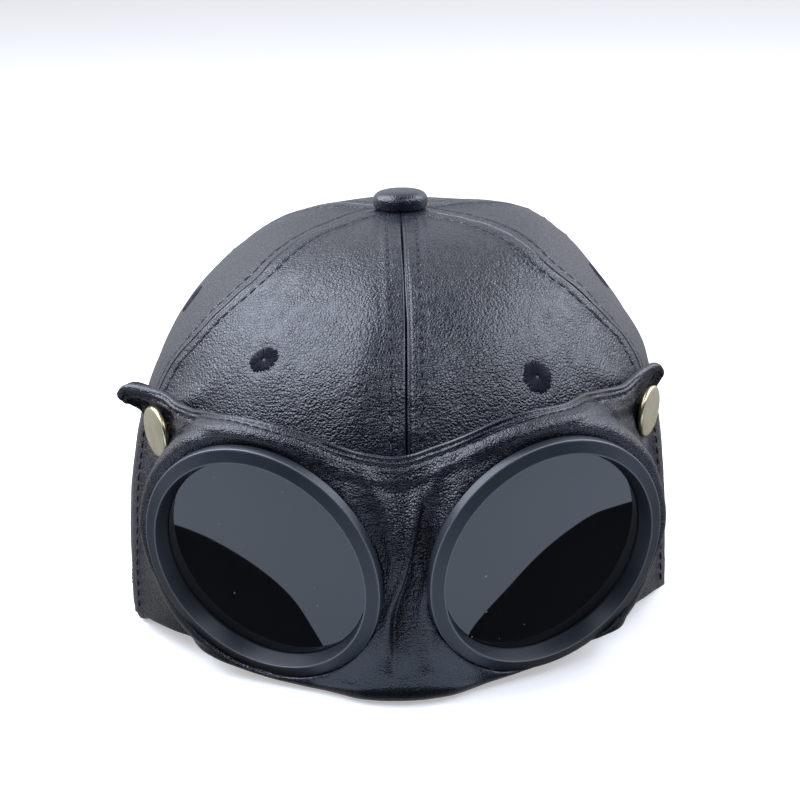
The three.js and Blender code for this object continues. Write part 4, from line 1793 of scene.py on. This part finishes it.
@dataclass
class GogglePeak:
    """The turned-up leather peak with its hem, welts and folds."""

    wardrobe: Wardrobe
    step: float = 0.9
    bridge: float = 12.0
    bridge_columns: int = 132
    hole: float = 33.2
    clear_hole: float = 36.45
    hem_bead: float = 0.85
    ear_bead_left: float = 0.8
    ear_bead_right: float = 1.5
    hem_row: float = 2.9
    side_row: float = 5.2
    face_length: float = 104.0
    rim_blur: float = 0.06
    frame_ridges: Profile = ((39.6, 1.8), (41.2, 0.9), (43.0, 1.3))
    frame_edge: Pair = (36.8, 38.2)
    stud_fold_rows: tuple[Triple, ...] = (
        (72, 9, 0.8), (98, 8, -0.5), (38, 10, 0.35), (8, 9, 0.3), (-28, 12, 0.25),
    )

    def base(self) -> tuple[Array, Array, Array]:
        """The plain outer surface.

        Returns:
            The grid of points, how far each is along its section, and each column's bearing.
        """
        fine = (0.0, 0.12, 0.35, 0.7, 1.1, 1.6)
        length = 2 * PEAK.end / 180 * math.pi * 98.0
        share = edge_steps(length, self.step, fine) / length
        bearing = lerp(-PEAK.end, PEAK.end, share)
        wide = bearing[np.abs(bearing) > self.bridge]
        close = np.linspace(-self.bridge, self.bridge, self.bridge_columns)
        bearing = np.sort(np.concatenate([wide, close]))
        path = PEAK.section(bearing)
        far = arc_lengths(path)
        start = np.array([0.0, 0.12, 0.35])
        edge = np.array([0, 0.1, 0.25, 0.45, 0.7, 0.95, 1.2, 1.45, 1.7, 1.95, 2.2, 2.5, 2.8, 3.1, 3.4, 3.8])
        rows = int(self.face_length / self.step)
        middle = [np.linspace(start[-1] * 2, long - edge[-1], rows) for long in far[:, -1]]
        along = [np.concatenate([start, m, long - edge[::-1][1:]]) for m, long in zip(middle, far[:, -1])]
        return np.array([sample(*line) for line in zip(along, far, path)]), np.array(along), bearing

    def build(self) -> list[bpy.types.Object]:
        """Builds the peak and its stitching.

        Returns:
            The pieces.
        """
        base, along, bearing = self.base()
        normal = grid_normals(base)
        across = arc_lengths(np.swapaxes(base, 0, 1)).T
        end = np.minimum(across, across[-1:] - across)
        top = along[:, -1:] - along
        turn = np.broadcast_to(bearing[:, None], top.shape)
        form, skin = self.relief(base, turn, top, end)
        edge = np.minimum(np.minimum(along, top), end)
        bead = self.bead(turn)
        thick = lerp(bead, LEATHER / 2, smoothstep(top, 1.4 * bead, 2.6 * bead))
        half = thick * rounded(top / thick, 1.0) * rounded(np.minimum(end, along), 1.0)
        middle = base - normal * LEATHER / 2
        shown = smoothstep(edge, 0.0, 0.8)
        outer = middle + normal * (half + (form + skin) * shown)[..., None]
        inner = middle - normal * (half - form * shown)[..., None]
        outer, inner, keep = self.cut_holes(outer, inner)
        # Lighter, smoother leather along the hem, the side edges and the bottom of the fold: wear, and along the
        # hem partly a painted highlight.
        wear_and_highlight = 0.8 * bump(top, 0.5, 0.6) + 0.5 * bump(top, self.hem_row - 0.7, 0.4) + 0.6 * bump(end, 0.7, 0.5)
        wear_and_highlight += 0.85 * (1 - smoothstep(base[..., 2], 12, 20)) * (1 - smoothstep(np.abs(turn), 14, 26))
        piece = Shell("goggle_peak_leather", outer, inner, wear_and_highlight, keep).build()
        piece.data.materials.append(self.wardrobe.peak)
        piece.data.materials.append(self.wardrobe.lining)
        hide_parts("goggle_peak")
        thread = self.sew(outer, normal, top, across)
        return [piece, thread]

    def bead(self, turn: Array) -> Array:
        """Radius of the rolled hem, which is thicker at the ears."""
        ear = smoothstep(np.abs(turn), 42, 54) * np.where(turn < 0, self.ear_bead_right, self.ear_bead_left)
        return self.hem_bead + ear

    def relief(self, base: Array, turn: Array, top: Array, end: Array) -> tuple[Array, Array]:
        """How far the dressed leather stands out from the plain surface.

        Args:
            base: The plain surface.
            turn: Bearings in degrees.
            top: Distance from the free edge.
            end: Distance from the nearer side edge.

        Returns:
            Distances outward of the whole wall, and of the outer face alone.
        """
        low = smoothstep(base[..., 2], 12, 34)
        form = (0.26 * WRINKLES(base + 9.0, (15, 15, 28)) + 0.1 * WRINKLES(base + 50.0, (7, 7, 12))) * low
        skin = 0.05 * WRINKLES(base + 90.0, 4.0)
        groove = 0.4 * bump(top, self.hem_row / 2, 0.3) * smoothstep(end, 12, 20)
        skin -= 0.45 * bump(top, self.hem_row, 0.4) + groove
        skin += 0.2 * bump(top, self.hem_row + 1.5, 0.8)
        form += 0.4 * bump(top, 6.8, 1.5) - 0.3 * bump(top, 9.2, 1.6)
        skin -= 0.25 * bump(end, self.side_row, 0.45)
        skin += 0.3 * (1 - smoothstep(end, self.side_row + 0.3, self.side_row + 2.4))
        calm = np.ones_like(form)
        for seat in SEATS:
            outward, rise, _ = seat.local(base)
            far = np.hypot(outward, rise)
            share = rise / np.maximum(far, 1e-6)
            near = ((turn > 0) == (seat.side == "left")) & (base[..., 1] < -20)
            ring = smoothstep(share, -0.5, 0.0) * near
            aside = ring * smoothstep(outward, -30, -18)
            wave = 1 + 0.3 * WRINKLES(base + 17.0, 11.0)
            upper = ring * np.where(outward > 0, 1, smoothstep(share, -0.05, 0.32))
            ridge, valley, welt = (bump(far, *place_and_width) for place_and_width in self.frame_ridges)
            form = form + (1.0 * ridge * upper - 0.6 * valley * aside) * wave
            form = form + 0.5 * welt * aside * wave
            calm = calm * (1 - 0.9 * near * (1 - smoothstep(far, *self.frame_edge)))
        form = form * calm + self.stud_folds(base, turn)
        return form, skin * calm

    def stud_folds(self, base: Array, turn: Array) -> Array:
        """Folds that run from each stud down and toward the goggles.

        Args:
            base: Points of the plain surface.
            turn: Their bearings.

        Returns:
            Distances outward.
        """
        out = np.zeros(turn.shape)
        for stud in STUDS:
            point, normal = stud.seat()
            round_ = unit(np.cross(np.array([0.0, 0.0, 1.0]), normal)) * -SIDES[stud.side]
            upward = np.cross(normal, np.cross(np.array([0.0, 0.0, 1.0]), normal))
            off = base - point
            x, y = off @ round_, off @ unit(upward)
            far = np.hypot(x, y)
            angle = np.degrees(np.arctan2(-y, x))
            fade = smoothstep(far, 7.5, 11.0) * np.exp(-((far / 30.0) ** 2))
            for at, wide, size in self.stud_fold_rows:
                out += size * bump(angle, at, wide) * fade
            out -= 0.4 * (1 - smoothstep(far, 7.0, 10.5))
        return out

    def cut_holes(self, outer: Array, inner: Array) -> tuple[Array, Array, Array]:
        """Opens the two holes for the goggles and draws the border onto a clean circle.

        Args:
            outer: The outer grid.
            inner: The inner grid.

        Returns:
            Both grids, and which faces are kept.
        """
        keep = np.ones((outer.shape[0] - 1, outer.shape[1] - 1), bool)
        outer, inner = outer.copy(), inner.copy()
        for seat in SEATS:
            across, upward, axis, centre = seat.axes()
            outward, rise, forward = seat.local(outer)
            far = np.hypot(outward, rise)
            share = rise / np.maximum(far, 1e-6)
            below = 1 - smoothstep(share, PEAK.lip_lowest, PEAK.lip_highest)
            radius = lerp(self.hole, self.clear_hole, smoothstep(below, 0.02, 0.25))
            front = (forward > -14) & (outer[..., 1] < -20) & (np.sign(outer[..., 0]) == np.sign(seat.x))
            past = np.where(front, far - radius, 9.0)
            gone = past[:-1, :-1] + past[1:, :-1] + past[:-1, 1:] + past[1:, 1:] < 0
            keep &= ~gone
            beside = np.zeros((2, *past.shape), bool)
            for di, dj in ((0, 0), (0, 1), (1, 0), (1, 1)):
                window = (slice(di, di + gone.shape[0]), slice(dj, dj + gone.shape[1]))
                beside[0][window] |= gone
                beside[1][window] |= ~gone
            rim = beside[0] & beside[1]
            for grid in (outer, inner):
                o, r, f = (value[rim] for value in seat.local(grid))
                turn = np.arctan2(r, o)
                gap = np.angle(np.exp(1j * (turn[:, None] - turn[None, :])))
                weight = np.exp(-((gap / self.rim_blur) ** 2))
                level = weight @ f / weight.sum(axis=1)
                ring = across * np.cos(turn)[:, None] + upward * np.sin(turn)[:, None]
                grid[rim] = centre + ring * radius[rim][:, None] + axis * level[:, None]
        return outer, inner, keep

    def sew(self, outer: Array, normal: Array, top: Array, across: Array) -> bpy.types.Object:
        """Sews a row under the free edge and one beside each side edge.

        Args:
            outer: The dressed surface.
            normal: Its outward directions.
            top: Distance from the free edge.
            across: Distance from the first side edge.

        Returns:
            The stitching.
        """
        stitches = Stitching("peak_stitching", pitch=3.3, length=2.5, radius=0.22)
        columns = range(10, outer.shape[0] - 10)
        hem = [[sample(self.hem_row, top[i, ::-1], grid[i, ::-1]) for i in columns] for grid in (outer, normal)]
        stitches.row(*np.array(hem))
        rows = range(6, outer.shape[1] - 12)
        for grid, out, far in ((outer, normal, across), (outer[::-1], normal[::-1], (across[-1:] - across)[::-1])):
            line, side = ([sample(self.side_row, far[:, j], g[:, j]) for j in rows] for g in (grid, out))
            stitches.row(np.array(line), np.array(side))
        thread = stitches.build(self.wardrobe.stitch)
        return thread


@dataclass
class Goggle:
    """One goggle: a moulded frame and its dark lens."""

    seat: Seat
    wardrobe: Wardrobe
    frame_profile: Profile = (
        (29.8, -7.6), (32.2, -7.6), (32.2, -4.0), (36.1, -4.0), (36.3, -3.8), (36.3, -1.6), (36.22, -1.35),
        (36.02, -1.18), (35.6, -1.02), (34.9, -0.78), (34.1, -0.5), (33.3, -0.22), (33.0, -0.1), (32.75, -0.03),
        (32.55, -0.08), (32.4, -0.3), (31.3, -4.3), (31.2, -4.6), (31.2, -6.5), (29.8, -6.5),
    )
    lens_radius: float = 30.9
    lens_front: float = 4.6
    lens_thick: float = 1.6
    lens_dome: float = 0.4

    def build(self) -> list[bpy.types.Object]:
        """Builds the frame and the lens.

        Returns:
            The pieces.
        """
        side, matrix = self.seat.side, self.seat.matrix()
        ring = spun(f"lens_frame_{side}_moulded", self.frame_profile, matrix, segments=180, angle=40.0)
        outward, rise, forward = self.seat.local(millimetres(ring))
        far = np.hypot(outward, rise)
        # Painted highlight: thin bands along the face's outer and inner edges, which the frame's finish lightens.
        outer_edge_highlight = bump(far, 36.2, 0.14) * smoothstep(forward, -1.7, -1.3)
        inner_edge_highlight = bump(far, 32.62, 0.16) * smoothstep(forward, -0.5, -0.1)
        paint(ring, "wear_and_highlight", outer_edge_highlight + inner_edge_highlight)
        ring.data.materials.append(self.wardrobe.frame)
        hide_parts(f"lens_frame_{side}")
        back = -self.lens_front - self.lens_thick
        steps = np.linspace(1, 0, 14)
        dome = [(self.lens_radius * t, -self.lens_front - self.lens_dome * t * t) for t in steps]
        profile = ((0.0, back), (self.lens_radius, back), *dome)
        lens = spun(f"lens_{side}_polished", tuple(profile), matrix, segments=128, angle=40.0)
        lens.data.materials.append(self.wardrobe.lens)
        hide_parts(f"lens_{side}")
        return [ring, lens]


@dataclass
class SnapStud:
    """One brass snap stud with a thick edge and a low domed face."""

    spec: StudSpec
    wardrobe: Wardrobe
    profile: Profile = (
        (0.0, -2.2), (2.4, -2.2), (2.4, 0.2), (6.9, 0.2), (7.4, 0.3), (7.65, 0.55), (7.72, 0.9), (7.7, 1.25),
        (7.6, 1.55), (7.3, 1.8), (6.9, 1.92), (6.3, 1.97), (4.5, 2.12), (2.4, 2.22), (0.0, 2.26),
    )

    def build(self) -> bpy.types.Object:
        """Builds the stud.

        Returns:
            The piece.
        """
        point, normal = self.spec.seat()
        name = f"snap_stud_{self.spec.side}_brass"
        piece = spun(name, self.profile, seat_matrix(point, normal), segments=96, angle=35.0)
        paint(piece, "wear_and_highlight", 1 - smoothstep((millimetres(piece) - point) @ normal, 0.9, 1.8))
        piece.data.materials.append(self.wardrobe.stud)
        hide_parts(f"snap_stud_{self.spec.side}")
        return piece


@dataclass(frozen=True)
class Softbox:
    """One soft studio light that points at the cap."""

    name: str
    at: Triple
    size: tuple[float, float]
    power: float
    colour: Triple = (0.88, 0.95, 1.12)
    target: Triple = (0.0, 0.0, 0.05)

    def build(self) -> None:
        """Places the light."""
        data = bpy.data.lights.new(self.name, "AREA")
        data.shape = "RECTANGLE"
        data.size, data.size_y = self.size
        data.energy = self.power
        data.color = self.colour
        lamp = put_in_scene(self.name, data)
        lamp.location = self.at
        aim = Vector(self.target) - Vector(self.at)
        lamp.rotation_mode = "QUATERNION"
        lamp.rotation_quaternion = aim.to_track_quat("-Z", "Y")
        lamp.visible_camera = False


@dataclass(frozen=True)
class Card:
    """A flat card that lies level in the studio."""

    name: str
    outline: Profile
    up: float

    def build(self, material: bpy.types.Material) -> bpy.types.Object:
        """Lays the card.

        Args:
            material: Its finish.

        Returns:
            The card.
        """
        mesh = bpy.data.meshes.new(self.name)
        mesh.from_pydata([(x, y, self.up) for x, y in self.outline], [], [range(len(self.outline))])
        card = put_in_scene(self.name, mesh)
        card.data.materials.append(material)
        return card


@dataclass
class Studio:
    """Camera, floor and soft lights."""

    distance: float = 0.65
    elevation: float = 16.0
    roll: float = 1.5
    focal: float = 92.25
    target: Triple = (0.0020914, 0.00457, 0.0573)
    sky: Triple = (0.93, 0.96, 1.03)
    sky_least: float = 0.03
    floor_outline: Profile = ((-6.0, -6.0), (6.0, -6.0), (6.0, 6.0), (-6.0, 6.0))
    floor_level: float = -0.0002
    table_level: float = -0.0003
    table_front: float = -0.24
    table_half_width: float = 0.9
    table_back: Table = Table(
        ("x", "y"),
        (
            (-0.9, -0.06), (-0.15, -0.086), (-0.126, -0.094), (-0.1144, -0.0989), (-0.0989, -0.1027),
            (-0.077, -0.1046), (-0.0566, -0.1031), (-0.0348, -0.0967), (-0.024, -0.0935), (-0.012, -0.113),
            (0.012, -0.114), (0.024, -0.0965), (0.0357, -0.1026), (0.0629, -0.107), (0.082, -0.109),
            (0.0994, -0.1088), (0.1126, -0.107), (0.1235, -0.1026), (0.136, -0.097), (0.16, -0.088), (0.9, -0.06),
        ),
    )
    lights: tuple[Softbox, ...] = (
        Softbox("left_top", (-0.72, 0.05, 0.95), (1.3, 1.1), 23.0),
        Softbox("right_top", (0.85, 0.1, 0.75), (1.2, 0.8), 10.5),
        Softbox("front_left", (-0.5, -0.65, 0.85), (0.7, 0.3), 2.0),
        Softbox("front_right", (0.5, -0.65, 0.85), (0.7, 0.3), 3.0),
    )

    def build(self) -> None:
        """Sets up the whole studio."""
        self.camera()
        self.floor()
        self.world()
        for light in self.lights:
            light.build()

    def camera(self) -> None:
        """Stands the camera at the photograph's angle."""
        e, roll = math.radians(self.elevation), math.radians(self.roll)
        forward = Vector((0, math.cos(e), -math.sin(e)))
        plain_up, plain_right = Vector((0, math.sin(e), math.cos(e))), Vector((1, 0, 0))
        right = plain_right * math.cos(roll) - plain_up * math.sin(roll)
        up = plain_right * math.sin(roll) + plain_up * math.cos(roll)
        data = bpy.data.cameras.new("camera")
        data.lens, data.sensor_width = self.focal, 36.0
        data.clip_start, data.clip_end = 0.01, 20.0
        camera = put_in_scene("camera", data)
        rows = [(right[k], up[k], -forward[k], self.target[k] - forward[k] * self.distance) for k in range(3)]
        camera.matrix_world = Matrix([*rows, (0.0, 0.0, 0.0, 1.0)])
        bpy.context.scene.camera = camera

    def floor(self) -> None:
        """Lays the pale floor that is seen, and a smaller white table top that lights and shows in the cap."""
        paper = FloorFinish("pale_paper", (0.8, 0.8, 0.81), 0.95, glow=0.42).make()
        floor = Card("floor", self.floor_outline, self.floor_level).build(paper)
        floor.visible_glossy = False
        floor.visible_diffuse = False
        white = FloorFinish("table_white", (0.6, 0.65, 0.72), 0.9, 0.74, (0.78, 0.92, 1.15), 0.62).make()
        wide = self.table_half_width
        x = np.concatenate([[-wide], np.linspace(-0.16, 0.16, 120), [wide]])
        back = list(zip(x[::-1].tolist(), self.table_back.read(x, "y")[::-1].tolist()))
        outline = ((-wide, self.table_front), (wide, self.table_front), *back)
        table = Card("table_top", outline, self.table_level).build(white)
        table.visible_camera = False
        table.visible_shadow = False

    def world(self) -> None:
        """Pale surroundings above and behind, and a dim room in front."""
        world = bpy.data.worlds.new("studio")
        bpy.context.scene.world = world
        world.use_nodes = True
        n = Nodes(world.node_tree)
        direction = n.add("ShaderNodeTexCoord").outputs["Generated"]
        split = n.add("ShaderNodeSeparateXYZ")
        n.link(direction, split.inputs[0])
        behind = n.ramp(split.outputs["Y"], -0.35, 0.75)
        above = n.scaled(n.ramp(split.outputs["Z"], -0.3, 0.35), 0.65, 0.35)
        aside = n.scaled(n.math("ABSOLUTE", split.outputs["X"]), 0.66, 0.72)
        share = n.math("MULTIPLY", n.math("MULTIPLY", behind, above), aside)
        back = n.add("ShaderNodeBackground")
        n.link(n.math("ADD", share, self.sky_least), back.inputs["Strength"])
        back.inputs["Color"].default_value = rgba(self.sky)
        out = n.add("ShaderNodeOutputWorld")
        n.link(back.outputs[0], out.inputs["Surface"])
        bpy.context.scene.view_settings.view_transform = "Standard"
        bpy.context.scene.view_settings.look = "None"


def main() -> None:
    """Builds the studio and every piece, and reports each one."""
    logging.basicConfig(level=logging.INFO, format="%(message)s")
    Studio().build()
    wardrobe = Wardrobe()
    pieces = Crown(wardrobe).build()
    pieces.append(TopButton(wardrobe).build())
    pieces += [Eyelet(spec, wardrobe, seed).build() for seed, spec in enumerate(EYELETS, 1)]
    pieces += GogglePeak(wardrobe).build()
    for seat in SEATS:
        pieces += Goggle(seat, wardrobe).build()
    pieces += [SnapStud(spec, wardrobe).build() for spec in STUDS]
    for piece in pieces:
        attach(piece, "root")
        triangles = sum(len(p.vertices) - 2 for p in piece.data.polygons)
        log.info("%s: %d triangles", piece.name, triangles)


if __name__ == "__main__":
    main()
